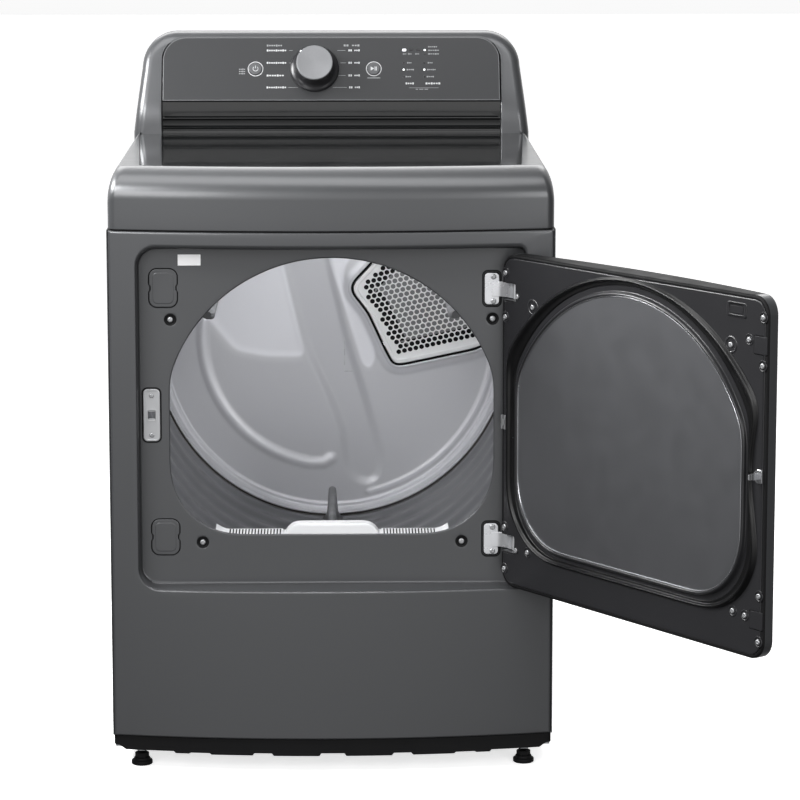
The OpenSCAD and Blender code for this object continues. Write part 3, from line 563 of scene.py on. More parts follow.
def front_panel():
    g = Geo()
    lip = rrect(-301, 301, 286.5, 828.5, (34, 15, 15, 34), 10)
    wall = rrect(-297.6, 297.6, 290, 821, (30, 11, 11, 30), 10)
    foot = rrect(-296.4, 296.4, 291.5, 819.6, (29, 10, 10, 29), 10)
    border = [(-340.7, 54.3), (340.7, 54.3), (340.7, 847.3), (-340.7, 847.3)]
    # skin, with its rolled edges
    edge = g.wrap(border, ((0, 16), (0, 3.2), (-0.5, 1.3), (-1.5, 0.35), (-3.0, 0)), flat)[-1]
    hole = g.rows([[flat(u, v, w) for u, v in blend_outline(lip, wall, t)]
                   for t, w in ((0, 0), (0.25, 0.25), (0.55, 1.1), (0.8, 2.8), (0.95, 4.6),
                                (1, 6))])
    g.fill([edge, hole[0]], [offset(border, -3.0), lip])
    # wall of the recess and its floor
    steps = g.rows([[flat(u, v, w) for u, v in ring] for ring, w in (
        (wall, 6), (blend_outline(wall, foot, 0.6), 44), (foot, 47), (offset(foot, -1.2), 49.2),
        (offset(foot, -3.0), 50))])
    holes, rings = [MOUTH], []
    holes += [disc(x, z, 10.5, 28) for x, z in FLOOR_SCREWS]
    holes += [notched(x0 - 1.9, x1 + 1.9, z0 - 1.9, z1 + 1.9, 14.0, 2.0)
              for x0, x1, z0, z1 in BLANKS]
    holes += [rrect(LATCH[0] - 6, LATCH[0] + 6, LATCH[1] - 8, LATCH[1] + 8, 2, 3)]
    for k, h in enumerate(holes):
        if k == 0:
            ids = g.wrap(h, ((0, 50), (-0.9, 50.25), (-1.6, 51), (-1.9, 52), (-1.9, 53.6)), flat)
        elif k <= 4:
            cx, cz = FLOOR_SCREWS[k - 1]
            ids = g.rows([[flat(u, v, w) for u, v in disc(cx, cz, r, 28)]
                          for r, w in ((10.5, 50), (9.4, 50.35), (7.6, 51.4), (6, 52.1),
                                       (3, 52.2))])
        else:
            ids = g.wrap(h, ((0, 50), (-0.4, 50.5), (-0.4, 53)), flat)
        rings.append(ids[0])
    g.fill([steps[-1]] + rings, [offset(foot, -3.0)] + holes)

    def warp(x, w, z):
        if w <= 6 or z < 288 or z > 830 or abs(x) > 300:
            return (x, bow(x) + w, z)
        if w <= 50:
            return (x, lerp(bow(x) + 6, FLOOR_Y, (w - 6) / 44), z)
        return (x, FLOOR_Y + w - 50, z)

    g.bend(strips(24), 0, warp)
    make("front_panel_skin", g, "paint", replaces=["front_panel"])


front_panel()


# ---------------------------------------------------------------- fittings on the recess floor
def screw_head(g, u0, v0, w0, at, r, h, turn):
    """A pan head of radius r and height h with a crossed recess, turned by turn degrees."""
    n, t = 32, radians(turn)
    rows = []
    for k, (q, z) in enumerate(((1.0, 0), (1.0, 0.45), (0.95, 0.72), (0.84, 0.9), (0.66, 0.98),
                                (0.58, 1.0), (0.46, 1.0), (0.34, 1.0), (0.2, 1.0), (0.06, 1.0))):
        ring = []
        for i in range(n):
            a = 2 * pi * i / n
            x, y = q * r * cos(a), q * r * sin(a)
            cross = k > 4 and (abs(x) < 0.17 * r or abs(y) < 0.17 * r)
            xx, yy = x * cos(t) - y * sin(t), x * sin(t) + y * cos(t)
            ring.append(at(u0 + xx, v0 + yy, w0 + h * z - (0.9 if cross and q < 0.58 else 0)))
        rows.append(ring)
    ids = g.rows(rows)
    g.f.append(tuple(ids[-1]))


def fittings():
    at = facing(FLOOR_Y)
    g = Geo()
    for x0, x1, z0, z1 in BLANKS:
        g.prism(notched(x0, x1, z0, z1, 12), [(0, -1.6), (0, 0.0), (0.3, 0.25), (0.9, 0.35)], at,
                caps=TOP)
        inner = rrect(x0 + 5, x1 - 5, z0 + 5, z1 - 5, 8)
        g.prism(inner, [(0, 0.3), (0.5, 0.65), (1.4, 0.7)], at, caps=TOP)
    make("blanking_plate_pair", g, "paint", replaces=["blanking_plates"])
    # catch plate with its slot and two screws
    g = Geo()
    lx, lz = LATCH
    g.prism(rrect(lx - 13, lx + 13, lz - 41, lz + 41, 7),
            [(0, 0.0), (0, 1.3), (0.3, 1.75), (0.9, 1.95), (2.6, 1.95), (3.2, 1.7)], at,
            holes=[rrect(lx - 5.5, lx + 5.5, lz - 7, lz + 7, 1.2, 3)], caps=TOP)
    for z in (lz - 6.2, lz + 6.2):
        g.prism(rrect(lx - 5.2, lx + 5.2, z - 0.9, z + 0.9, 0.8, 3),
                [(0, -1), (0, 0.8), (0.4, 1.2)], at)
    make("catch_plate", g, "catch", replaces=["latch_plate"])
    g = Geo()
    g.prism(rrect(-235.5, -200.5, 791, 808, 0.6, 2), [(0, 0.02), (0, 0.18), (0.1, 0.22)], at,
            caps=TOP)
    make("blank_label", g, "label")
    # dark grooves pressed around the plates
    # painted shade: flat black rings round the catch and hinge plates, in place of the shade of
    # grooves
    g = Geo()
    for x0, x1, z0, z1, r in ((lx - 15.4, lx + 15.4, lz - 43.6, lz + 43.6, 9),
                              (231.5, 262, 725, 783, 9), (231.5, 262, 332, 390, 9)):
        g.prism(rrect(x0, x1, z0, z1, r), [(0, 0.02), (0.7, 0.12), (1.5, 0.12), (2.3, 0.02)], at,
                holes=[rrect(x0 + 4.8, x1 - 4.8, z0 + 4.8, z1 - 4.8, max(1, r - 4.5))],
                caps=(False, False))
    make("plate_groove_shade", g, "matte_black")
    # painted shade: black cups in the screw dimples, and black rings behind the gaps round the
    # blanking plates
    g = Geo()
    for x, z in FLOOR_SCREWS:
        g.lathe([(9.6, -0.1), (9.0, 0.25), (8.2, 0.1), (6.6, -1.2), (4.6, -1.8)],
                lambda u, v, w, x=x, z=z: at(x + u, z + v, w), 36)
    for x0, x1, z0, z1 in BLANKS:
        g.prism(notched(x0 - 3.2, x1 + 3.2, z0 - 3.2, z1 + 3.2, 15), [(0, -2.2), (0.5, -2.0)], at,
                caps=TOP)
    make("floor_cup_shade", g, "matte_black")
    # screw heads: recess floor, catch, hinges, rear panel
    g = Geo()
    heads = [(x, z, -1.0, at, 4.2, 2.6) for x, z in FLOOR_SCREWS]
    heads += [(lx, lz + e, 1.8, at, 3.8, 1.8) for e in (-31, 31)]
    heads += [(249, z + e, 3.0, at, 4.3, 2.2) for z in HINGE_Z for e in (-19, 19)]
    heads += [(x, z, 0, facing(REAR_Y, 1), 4.5, 2.0) for x in (-320, 320)
              for z in (90, 300, 500, 700, 830)]
    for k, head in enumerate(heads):
        screw_head(g, *head, turn=20 + 31 * k)
    make("cabinet_screw_heads", g, "catch", replaces=["cabinet_screws"])


fittings()


# ---------------------------------------------------------------- top cover
def cover_outline(side, inset, rc, rear=336.0):
    """Plan of the top cover as (x, y, normal x, normal y), set back by inset at the front."""
    cy, r = FRONT + BOW, BOW - inset
    ccx = side - rc
    ccy = cy - sqrt((r - rc) ** 2 - ccx * ccx)
    lean = degrees(asin(ccx / (r - rc)))
    pts = [(-side, lerp(rear - 2, ccy + 1, (k / 13) ** 0.8), -1, 0) for k in range(14)]
    for i in range(9):
        a = radians(180 + (90 - lean) * i / 8)
        pts.append((-ccx + rc * cos(a), ccy + rc * sin(a), cos(a), sin(a)))
    for i in range(1, 64):
        a = radians(270 - lean + 2 * lean * i / 64)
        pts.append((r * cos(a), cy + r * sin(a), cos(a), sin(a)))
    for i in range(9):
        a = radians(270 + lean + (90 - lean) * i / 8)
        pts.append((ccx + rc * cos(a), ccy + rc * sin(a), cos(a), sin(a)))
    pts += [(side, lerp(ccy + 1, rear - 2, (k / 13) ** 1.25), 1, 0) for k in range(14)]
    pts += [(lerp(side, -side, k / 20), rear, 0, 1) for k in range(1, 20)]
    return pts


def top_cover():
    g = Geo()
    side = 341.2
    start = lambda nx, ny: 889 + (8 * ny * ny if ny < 0 else 50 * ny * ny)

    def ring(inset, z):
        return [(x, y, z)
                for x, y, nx, ny in cover_outline(side - inset, inset, 15 - inset, 336 - inset)]

    rows = [ring(2.2, 849.6), ring(0.4, 849.9), ring(0, 851.4), ring(0, 870)]
    for k in range(0, 17):
        a = radians(74 * k / 16)
        f = (1 - cos(a)) / (1 - cos(radians(74)))
        rows.append([(x, y, start(nx, ny) + (943.2 - start(nx, ny)) * sin(a) / sin(radians(74)))
                     for x, y, nx, ny in cover_outline(side - 17 * f, 46 * f, 15 + 4 * f,
                                                       336 - 3 * f)])

    def tray(grow, z):
        pts = []
        for x, y, nx, ny in cover_outline(325 + grow, 49 - grow, 16, 334 + grow):
            t = min(1, max(0, (240 - y) / 558))
            pts.append((x * (1 - 0.105 * t), y, z))
        return pts

    rows += [tray(1.8, 942.2), tray(0.6, 941.6), tray(0, 940.9), tray(-0.4, 940.2)]
    g.rows(rows)
    make("top_cover_shell", g, "paint", replaces=["top_cover"], angle=50)
    g = Geo()
    edge = tray(1.0, 940.5)
    ids = g.loop(edge)
    g.fill([ids], [[(p[0], p[1]) for p in edge]])
    make("worktop", g, "top")
    # painted shade: a black band in the gap above the front panel, in place of its shadow
    g = Geo()
    inner = [p[:2] for p in cover_outline(side - 3, 3, 12, 333)]
    g.rows([[(x, y, z) for x, y in inner] for z in (846.0, 851.0)])
    make("cover_gap_shade", g, "matte_black")


top_cover()


# ---------------------------------------------------------------- console
TILT = radians(25)
POWER_U, START_U, KEYS_V = -129, 72, 58.5     # on the control face: across, and up its slope


def on_face(u, v, w):
    """Places on the sloping control face: across, up the slope, and out of it."""
    return (u, 245 + v * sin(TILT) - w * cos(TILT), 994 + v * cos(TILT) + w * sin(TILT))


def face_outline(inset=0.0, n=16):
    w, r = 286.5 - inset, 40 - inset
    return ([(-w, 1.0 + inset), (w, 1.0 + inset)] + arc(w - r, 116.5 - 40, r, 0, 90, n)
            + arc(-w + r, 116.5 - 40, r, 90, 180, n))


def profile_y(z):
    knots = ((900, 239), (957, 239), (972, 240), (986, 243.5), (1000, 249), (1016, 256),
             (1120, 304))
    for (z0, y0), (z1, y1) in zip(knots, knots[1:]):
        if z <= z1:
            return lerp(y0, y1, (z - z0) / (z1 - z0))
    return knots[-1][1]


def console():
    g = Geo()
    outer = ([(-336, 905), (336, 905), (335.6, 943)] + arc(263.5, 1051.5, 58, 2, 88, 22)
             + arc(-263.5, 1051.5, 58, 92, 178, 22) + [(-335.6, 943)])
    top = 994 + 116.5 * cos(TILT) + 1.2
    hole = ([(-288, 938), (288, 938)] + arc(288 - 41, top - 38, 41, 0, 90, 16, ry=38)
            + arc(-288 + 41, top - 38, 41, 90, 180, 16, ry=38))
    big = 17.0
    steps = [(0.0, 400.0), (0.0, 60.0), (0.0, big)]
    steps += [(big * (1 - cos(radians(a))), big * (1 - sin(radians(a))))
              for a in (12, 25, 38, 52, 65, 78, 90)]
    flats = [offset(outer, -i) for i, _ in steps]
    cols = g.rows([[flat(u, v, w) for u, v in f] for f, (_, w) in zip(flats, steps)])
    inner = g.wrap(hole, ((1.6, 0), (0.8, 0.25), (0.2, 0.9), (0, 2.0), (0, 27)), flat)
    g.fill([cols[-1], inner[0]], [flats[-1], offset(hole, 1.6)])
    g.fill([cols[0]], [flats[0]])

    def warp(x, w, z):
        if w > 390:
            return (x, 337.0, z)
        return (x, min(336.0, profile_y(z) + w), z)

    g.bend([957, 964, 972, 979, 986, 993, 1000, 1008, 1016], 2, warp)
    make("console_body", g, "paint", replaces=["console_housing"], angle=50)
    # channel under the control face
    g = Geo()
    line = [(270, 996.5), (263.0, 996.0), (262.6, 990), (262.4, 968.8), (260.6, 968.0),
            (257.6, 966.6), (257.0, 965.2), (257.6, 963.9), (261.2, 962.6), (262.4, 961.4),
            (262.4, 953.0), (260.8, 952.2), (256.6, 951.0), (255.6, 949.8), (256.2, 948.6),
            (257.8, 947.6), (258.2, 945.6), (257.4, 944.4), (255.8, 943.6), (255.2, 942.4),
            (255.2, 939.0)]
    xs = [-287.6 + 575.2 * k / 24 for k in range(25)]
    g.rows([[(x, y, z) for y, z in line] for x in xs], closed=False)
    make("console_channel", g, "top", angle=60)


console()


def control_face():
    g = Geo()
    g.prism(face_outline(), [(0, -2.5), (0, 2.0), (0.25, 2.6), (0.9, 3.0)], on_face,
            holes=[disc(-28, KEYS_V, 6.2)]
            + [disc(u, KEYS_V, 11.4, 40) for u in (POWER_U, START_U)])
    make("control_face", g, "film", replaces=["control_panel"])
    g = Geo()
    g.rows([[on_face(u, v, w) for u, v in face_outline(i)]
            for i, w in ((0.9, 2.95), (1.05, 3.14), (1.75, 3.14), (1.9, 2.95))])
    make("face_edge_line", g, "line")
    # printed marks: plain bars, rings and generic symbols
    ink, faint = Geo(), Geo()

    def bar(geo, u0, u1, v, h=2.6, w=3.02):
        geo.prism([(u0, v - h / 2), (u1, v - h / 2), (u1, v + h / 2), (u0, v + h / 2)],
                  [(0, w), (0, w + 0.12)], on_face, caps=TOP)

    def broken(geo, u0, u1, v, h, bits):
        """A row of short strokes, like unreadable small print."""
        n = len(bits)
        step = (u1 - u0) / n
        for k, b in enumerate(bits):
            if b:
                bar(geo, u0 + k * step, u0 + (k + 0.72) * step, v, h * (0.8 if b == 1 else 1.15))

    def ring_mark(geo, u, v, r, t):
        geo.rows([[on_face(x, y, w) for x, y in disc(u, v, q, 48)] for q, w in (
            (r + t / 2, 3.0), (r + t / 2, 3.16), (r - t / 2, 3.16), (r - t / 2, 3.0))])

    for v, end in ((101, -83), (92, -76), (69.5, -76), (46.5, -80), (25, -76)):
        broken(faint if v == 101 else ink, -110, end, v, 3.0,
               (2, 1, 1, 1, 2, 1, 1, 2, 1)[: 7 + (end > -80) * 2])
    for v, start in ((101, 21), (92, 29), (69.5, 29), (46.5, 29), (25, 30)):
        broken(faint if v == 101 else ink, start, 49, v, 3.0, (2, 2, 0, 1, 1, 2))
    for u0, u1, v in ((-72, -62, 69.4), (15, 25, 69.4), (-68, -58, 46.5), (12, 24, 46.5),
                      (-74, -57, 25), (2, 26, 25), (-72, -66, 92), (10, 24, 92)):
        bar(faint, u0, u1, v, 0.7)
    for v in (50, 54, 58):
        broken(faint, -157, -146, v, 2.2, (1, 1, 2, 1))
    bar(faint, 61, 83, 42, 1.4)
    for u in (POWER_U, START_U):
        ring_mark(ink, u, KEYS_V, 12.6, 1.3)
    for u0, u1, v in ((129, 137, 69.3), (128, 141, 56.9), (126, 136, 44.2), (165, 181, 98.4),
                      (165, 184, 92), (165, 184, 85.4), (164, 173, 69.3), (163, 178, 56.9),
                      (162, 175, 44.2), (122, 128, 85.4), (131, 137, 85.4), (143, 150, 85.4)):
        broken(faint, u0, u1, v, 2.2, (2, 1, 1, 2, 1)[: max(3, int((u1 - u0) / 3))])
    broken(ink, 126, 141, 31.9, 3.0, (2, 1, 1, 2))
    broken(ink, 160, 186, 31.9, 3.0, (2, 1, 2, 1, 1, 2))
    bar(faint, 132, 182, 24, 0.6)
    for u0, u1, v in ((143, 147, 21.4), (149, 156, 21.4), (158, 164, 21.4)):
        bar(faint, u0, u1, v, 1.2)
    make("face_marks", ink, "ink")
    make("face_small_marks", faint, "faint_ink")
    # windows of the lights
    lit, dark = Geo(), Geo()
    for k, u in enumerate((124, 136, 148)):
        (lit if k == 0 else dark).prism(rrect(u - 3.2, u + 3.2, 90.6, 94.6, 0.6, 2),
                                        [(0, 2.9), (0, 3.1), (0.2, 3.2)], on_face, caps=TOP)
    for u, v, on in ((159, 92.5, 1), (159, 85.4, 0), (123, 69.3, 0), (158, 69.3, 0), (123, 56.9, 1),
                     (158, 56.9, 1), (123, 44.2, 0), (158, 44.2, 0)):
        (lit if on else dark).prism(disc(u, v, 1.7, 16), [(0, 2.9), (0, 3.1), (0.3, 3.25)], on_face,
                                    caps=TOP)
    make("lights_on", lit, "lamp_lit", replaces=["indicator_lights"])
    make("lights_off", dark, "lamp_dark")


control_face()


def dial():
    at = lambda u, v, w: on_face(-28.5 + u, KEYS_V + v, w)
    g = Geo()
    g.lathe([(41.4, 3.6), (41.6, 5.0), (41.2, 6.6), (39.8, 8.2), (37.5, 9.6), (35.2, 11.2),
             (33.4, 14.0), (31.8, 20.0), (31.2, 27.0), (31.0, 30.8), (30.4, 31.8), (29.8, 32.0),
             (5, 32.0), (3.1, 30), (3.1, 4.0), (20, 3.6)], at, 96, closed=True)
    make("dial_skirt", g, "skirt", body="dial", replaces=["dial_knob"])
    g = Geo()
    ids = g.rows([[at(u, v, w) for u, v in disc(0, 0, r, 120)] for r, w in (
        (30.6, 28.8), (30.9, 29.4), (30.9, 33.6), (30.5, 34.5), (29.7, 35.0), (28.6, 34.9),
        (22, 34.3), (12, 33.9), (3, 33.8))])
    g.f.append(tuple(ids[-1]))
    make("dial_cap", g, "cap", body="dial")
    # pointer: a lit wedge on the skirt's slope
    g = Geo()
    a = radians(128)
    along, across = Vector((cos(a), sin(a))), Vector((-sin(a), cos(a)))
    corners = [(along * s + across * q, w) for s, q, w in (
        (34.6, -1.1, 12.6), (39.6, -1.3, 9.2), (39.6, 1.3, 9.2), (34.6, 1.1, 12.6))]
    for sink in (0, 2.0):
        g.loop([at(c.x, c.y, w - sink) for c, w in corners])
    g.f += [(0, 1, 2, 3), (7, 6, 5, 4), (0, 4, 5, 1), (1, 5, 6, 2), (2, 6, 7, 3), (3, 7, 4, 0)]
    make("dial_pointer", g, "lamp_lit", body="dial")


dial()


def keys():
    for name, u, body in (("power", POWER_U, "power_key"), ("start", START_U, "start_key")):
        at = lambda x, y, w, u=u: on_face(u + x, KEYS_V + y, w)
        g = Geo()
        g.lathe([(3, -9), (3, -2), (10.9, -1.8), (10.9, 3.4), (10.6, 4.1), (10.0, 4.5), (8.6, 4.6),
                 (4, 4.45), (0.5, 4.4)], at, 64)
        make(name + "_key_cap", g, "button", body=body, replaces=[name + "_button"])
        g = Geo()
        if name == "power":
            g.rows([[at(q * sin(radians(a)), q * cos(radians(a)), w) for a in range(40, 321, 10)]
                    for q, w in ((4.7, 4.5), (4.7, 4.75), (3.8, 4.75), (3.8, 4.5))], closed=False)
            g.prism([(-0.5, 0.8), (0.5, 0.8), (0.5, 5.6), (-0.5, 5.6)], [(0, 4.5), (0, 4.75)], at,
                    caps=TOP)
        else:
            g.prism([(-5.2, -3.6), (0.6, 0), (-5.2, 3.6)], [(0, 4.5), (0, 4.75)], at, caps=TOP)
            for x in (1.6, 3.8):
                g.prism([(x, -3.5), (x + 1.2, -3.5), (x + 1.2, 3.5), (x, 3.5)],
                        [(0, 4.5), (0, 4.75)], at, caps=TOP)
        make(name + "_symbol", g, "ink", body=body)


keys()


# ------------------------------------------------ drum and what shows through the opening
def drum():
    """The rolled drum wall, with a groove for the belt, and its three fins."""
    g = Geo()
    prof = [(309.5, 232), (309.5, 142), (311.4, 141), (311.4, 139), (309.6, 138), (309.6, 120),
            (311.4, 119), (311.4, 116), (309.5, 115), (309.5, -265), (308.8, -265.6), (308, -265)]
    prof += [(306.2 + 1.9 * cos(2 * pi * (y + 258) / 82), y)
             for y in np.arange(-258.0, 229.0, 5.125)]
    prof += [(308, 231), (308.7, 232)]
    g.lathe(prof, lambda u, v, w: (u, w, DRUM_Z + v), 160, closed=True)
    make("drum_wall", g, "drum", body="drum", replaces=["drum_shell"], angle=50)
    g = Geo()
    for lift in (-90, 30, 150):
        a = radians(lift)
        ex, ez = cos(a), sin(a)       # outwards
        tx, tz = -sin(a), cos(a)      # along the wall
        rows = []
        for k in range(25):
            t = k / 24
            y = lerp(-238, 190, t)
            tall = 96 - max(0.0, (y - 10)) * 0.32 - 6 * max(0, 1 - (y + 238) / 14) ** 2
            tall *= min(1.0, 0.55 + (190 - y) / 40)
            foot, tip = 21.5, 6.3
            sec = [(-foot, 1.3), (-foot + 4, 3.0), (-foot + 8, 7.5), (-tip - 3.4, tall * 0.42),
                   (-tip - 1.2, tall * 0.78)]
            sec += [(-tip * cos(radians(q)), tall - tip + tip * sin(radians(q)))
                    for q in (0, 25, 50, 75, 90)]
            sec += [(-u, v) for u, v in sec[-2::-1]]
            rows.append([(ex * (308 - v) + tx * u, y, DRUM_Z + ez * (308 - v) + tz * u)
                         for u, v in sec])
        ids = g.rows(rows)
        g.f += [tuple(ids[0]), tuple(reversed(ids[-1]))]
    make("drum_lifter_fins", g, "lifter", body="drum", replaces=["drum_lifters"], angle=50)


drum()


def grille_outline(grow=0.0):
    """The air inlet's outline; its right edge follows the bulkhead's rim."""
    raw = ([(119, 544.5), (240, 570)] + arc(0, DRUM_Z, 284, -2, 54.6, 40)[1:]
           + [(67, 717), (36, 684), (35, 670), (63, 633), (93, 568), (105, 545)])
    return offset(smooth(raw, 200, 12), grow)


def distance(x, z, line):
    """How far each point of a grid is from a line of points."""
    best = np.full(x.shape, 1e9)
    for (ax, az), (bx, bz) in zip(line, line[1:]):
        dx, dz = bx - ax, bz - az
        t = np.clip(((x - ax) * dx + (z - az) * dz) / (dx * dx + dz * dz), 0, 1)
        best = np.minimum(best, np.hypot(x - ax - t * dx, z - az - t * dz))
    return best


def inside(x, z, poly):
    hit = np.zeros(x.shape, bool)
    for (ax, az), (bx, bz) in zip(poly, poly[1:] + poly[:1]):
        if az != bz:
            hit ^= ((az > z) != (bz > z)) & (x < (bx - ax) * (z - az) / (bz - az) + ax)
    return hit


def signed(x, z, poly):
    """Distance from an outline, less than nothing inside it."""
    d = distance(x, z, poly + poly[:1])
    return np.where(inside(x, z, poly), -d, d)


def ease(v):
    """A smooth step from 0 to 1."""
    v = np.clip(v, 0, 1)
    return v * v * (3 - 2 * v)


def bulkhead():
    """The drum's fixed back: a pressed disc inside a collar."""
    rr = np.concatenate([np.linspace(0.5, 284, 104),
                         [286, 288, 289.5, 290.5, 292, 293.5, 295, 297, 298.6, 299.4]])
    n = 420
    th = np.arange(n) * 2 * pi / n
    R, T = np.meshgrid(rr, th, indexing="ij")
    X, Z = R * np.cos(T), DRUM_Z + R * np.sin(T)
    band = smooth([(-118, 905), (-80, 715), (-45, 576), (-6, 494), (20, 425), (20, 377), (28, 352),
                   (48, 336), (68, 333), (80, 342), (84, 381), (54, 494), (28, 576), (-6, 723),
                   (-42, 905)], 150, 40)
    lobe = smooth([(-42, 905), (-6, 723), (15, 663), (28, 619), (52, 541), (66, 536), (74, 554),
                   (69, 600), (46, 648), (19, 692), (24, 718), (60, 762), (110, 815), (100, 905)],
                  160, 14)
    patch = smooth([(-290, 740), (-203, 612), (-166, 568), (-114, 558), (-46, 557), (-84, 720),
                    (-122, 905)], 140, 22)

    def rib(r, angles, tail):
        return [(r * cos(radians(a)), DRUM_Z + r * sin(radians(a))) for a in angles] + tail

    line1 = rib(222, range(172, 261, 4), [(-14, 372), (-2, 380)])
    line2 = rib(277, range(2, -78, -4), [(63, 320)])
    in_band, in_lobe, in_patch = (signed(X, Z, q) for q in (band, lobe, patch))
    ridge1, ridge2 = distance(X, Z, line1), distance(X, Z, line2)
    # relief: the long pressed channel, two shallow fields and two ribs
    h = -4.5 * ease(0.5 - in_band / 18)
    h -= 1.6 * ease(0.5 - in_lobe / 18) + 1.6 * ease(0.5 - in_patch / 24)
    h += 3.4 * ease(1 - ridge1 / 13) + 2.6 * ease(1 - ridge2 / 8)
    # painted light and shade on the sheet: the patch and the lobe lighter as painted reflections,
    # the channel darker as painted shade, painted highlights along both ribs
    painted_light = 0.9 * np.maximum(ease(0.5 - in_lobe / 6), ease(0.5 - in_patch / 8))
    painted_light = (np.where(in_band < 3, painted_light * ease(0.5 + in_band / 6), painted_light)
            - 0.12 * ease(0.5 - in_band / 8))
    painted_light = np.maximum(painted_light, 0.45 * ease(1 - ridge1 / 11))
    painted_light = np.maximum(painted_light, 0.6 * ease(1.3 - ridge2 / 4))
    # raised land around the inlet
    gd = signed(X, Z, grille_outline())
    h += 3.0 * ease(1 - (gd - 6) / 16)
    # painted light on the land round the inlet and on the rim
    painted_light = np.where(gd < 22, lerp(0.25, painted_light, ease((gd - 14) / 6)), painted_light)
    painted_light = np.where((R > 284) & (R < 296), 0.2, painted_light)
    h *= ease((286 - R) / 14)
    Y = 237.5 - h
    Y = np.where(R > 287, 237.5 - 3.5 * ease((R - 287) / 3), Y)
    Y = np.where(R > 294, 234 - 5.0 * ease((R - 294) / 5.4), Y)
    g = Geo()
    ids = [g.loop(zip(X[i], Y[i], Z[i])) for i in range(len(rr))]
    skip = gd < 3.4
    for i in range(len(rr) - 1):
        for j in range(n):
            k = (j + 1) % n
            if not (skip[i, j] or skip[i + 1, j] or skip[i, k] or skip[i + 1, k]):
                g.f.append((ids[i][j], ids[i][k], ids[i + 1][k], ids[i + 1][j]))
    g.f.append(tuple(reversed(ids[0])))
    tail = g.rows([[(r * cos(t), y, DRUM_Z + r * sin(t)) for t in th] for r, y in (
        (300.2, 228), (300.2, 214), (300.8, 212.3), (301.6, 212), (302.4, 212.3), (303, 213.2),
        (303, 239.5), (304, 240.8), (330, 241))])
    g.band(ids[-1], tail[0])
    back = make("drum_back", g, "back", replaces=["rear_bulkhead"], angle=60, weighted=False).data
    # the painted light and shade goes into the sheet's colour as a field on its points
    field = back.attributes.new("painted_light", "FLOAT", "POINT")
    unpainted_rest = np.zeros(len(back.vertices) - painted_light.size)
    field.data.foreach_set("value", np.concatenate([painted_light.ravel(), unpainted_rest]))
    # black groove and the perforated inlet plate
    g = Geo()
    g.wrap(grille_outline(), ((3.7, 234.0), (3.4, 236.0), (0.0, 238.5)), flat)
    make("inlet_groove", g, "matte_black")
    g = Geo()
    g.wrap(grille_outline(), ((8.6, 234.6), (7.8, 234.1), (6.6, 233.7), (4.4, 233.6),
                              (3.6, 234.0), (3.4, 236.0)), flat)
    make("inlet_lip", g, "back")
    # staggered rows of holes over the whole of the plate but its border
    a, pitch, hole_r = radians(12.5), 10.0, 4.3
    centres = []
    for j in range(-22, 23):
        for i in range(-24, 25):
            x0, z0 = (i + 0.5 * (j % 2)) * pitch, j * pitch * 0.866
            centres.append((150 + x0 * cos(a) - z0 * sin(a), 680 + x0 * sin(a) + z0 * cos(a)))
    grid = np.array(centres)
    kept = inside(grid[:, 0], grid[:, 1], grille_outline(-15.5))
    corners = [2 * pi * k / 10 + a for k in range(10)]
    holes = [[(x + hole_r * cos(c), z + hole_r * sin(c)) for c in corners]
             for (x, z), keep in zip(centres, kept) if keep]
    g = Geo()
    at = facing(234.6)
    border = ((0, -1.6), (0, 1.0), (-0.7, 2.2), (-2.0, 2.6), (-6.0, 2.6), (-7.6, 1.2), (-8.4, 0.9))
    rims = [(grille_outline(-1.0), border)]
    rims += [(h, ((0, -1.6), (0, 0.7), (0.25, 0.9))) for h in holes]
    g.fill([g.wrap(outline, steps, at)[-1] for outline, steps in rims],
           [offset(outline, steps[-1][0]) for outline, steps in rims])
    make("inlet_plate", g, "pale", replaces=["inlet_grille"])
    # dark void behind the holes, with a pale baffle across its middle
    g = Geo()
    g.prism(grille_outline(-2), [(0, -7.0), (0, -9.0)], at, caps=(True, False))
    make("inlet_shade", g, "matte_black")
    g = Geo()
    g.prism(grille_outline(-38), [(0, -7.0), (0, -4.6), (0.6, -4.0)], at, caps=TOP)
    make("inlet_baffle", g, "baffle")


bulkhead()


def front_ring():
    """The drum's fixed front, with its collar, and the seal around the opening."""
    g = Geo()
    at = facing(-309.3, 1)
    lx, lz = LATCH
    g.prism(rrect(-325, 325, 245, 835, 6, 4), [(0, 3.0), (0, 0.3), (0.3, 0)], at,
            holes=[offset(MOUTH, 1.0), rrect(lx - 9, lx + 9, lz - 11, lz + 11, 1, 2)])
    make("front_bulkhead_plate", g, "zinc", replaces=["front_bulkhead"])
    # collar, open at the bottom where the filter comes up
    g = Geo()
    span = [radians(-74 + 328 * i / 160) for i in range(161)]
    g.rows([[(r * cos(a), y, DRUM_Z + r * sin(a)) for a in span] for r, y in (
        (300, -306), (300, -252), (300.6, -246.6), (301.5, -246), (302.4, -246.6), (303, -252),
        (303, -306))], closed=False)
    make("front_collar", g, "drum")
    g = Geo()
    g.wrap(MOUTH, ((1.2, -309.0), (-0.4, -308.2), (-1.2, -306.6), (-0.6, -305.2), (1.6, -304.6),
                   (4, -305.6)), flat)
    make("mouth_seal", g, "rubber")


front_ring()


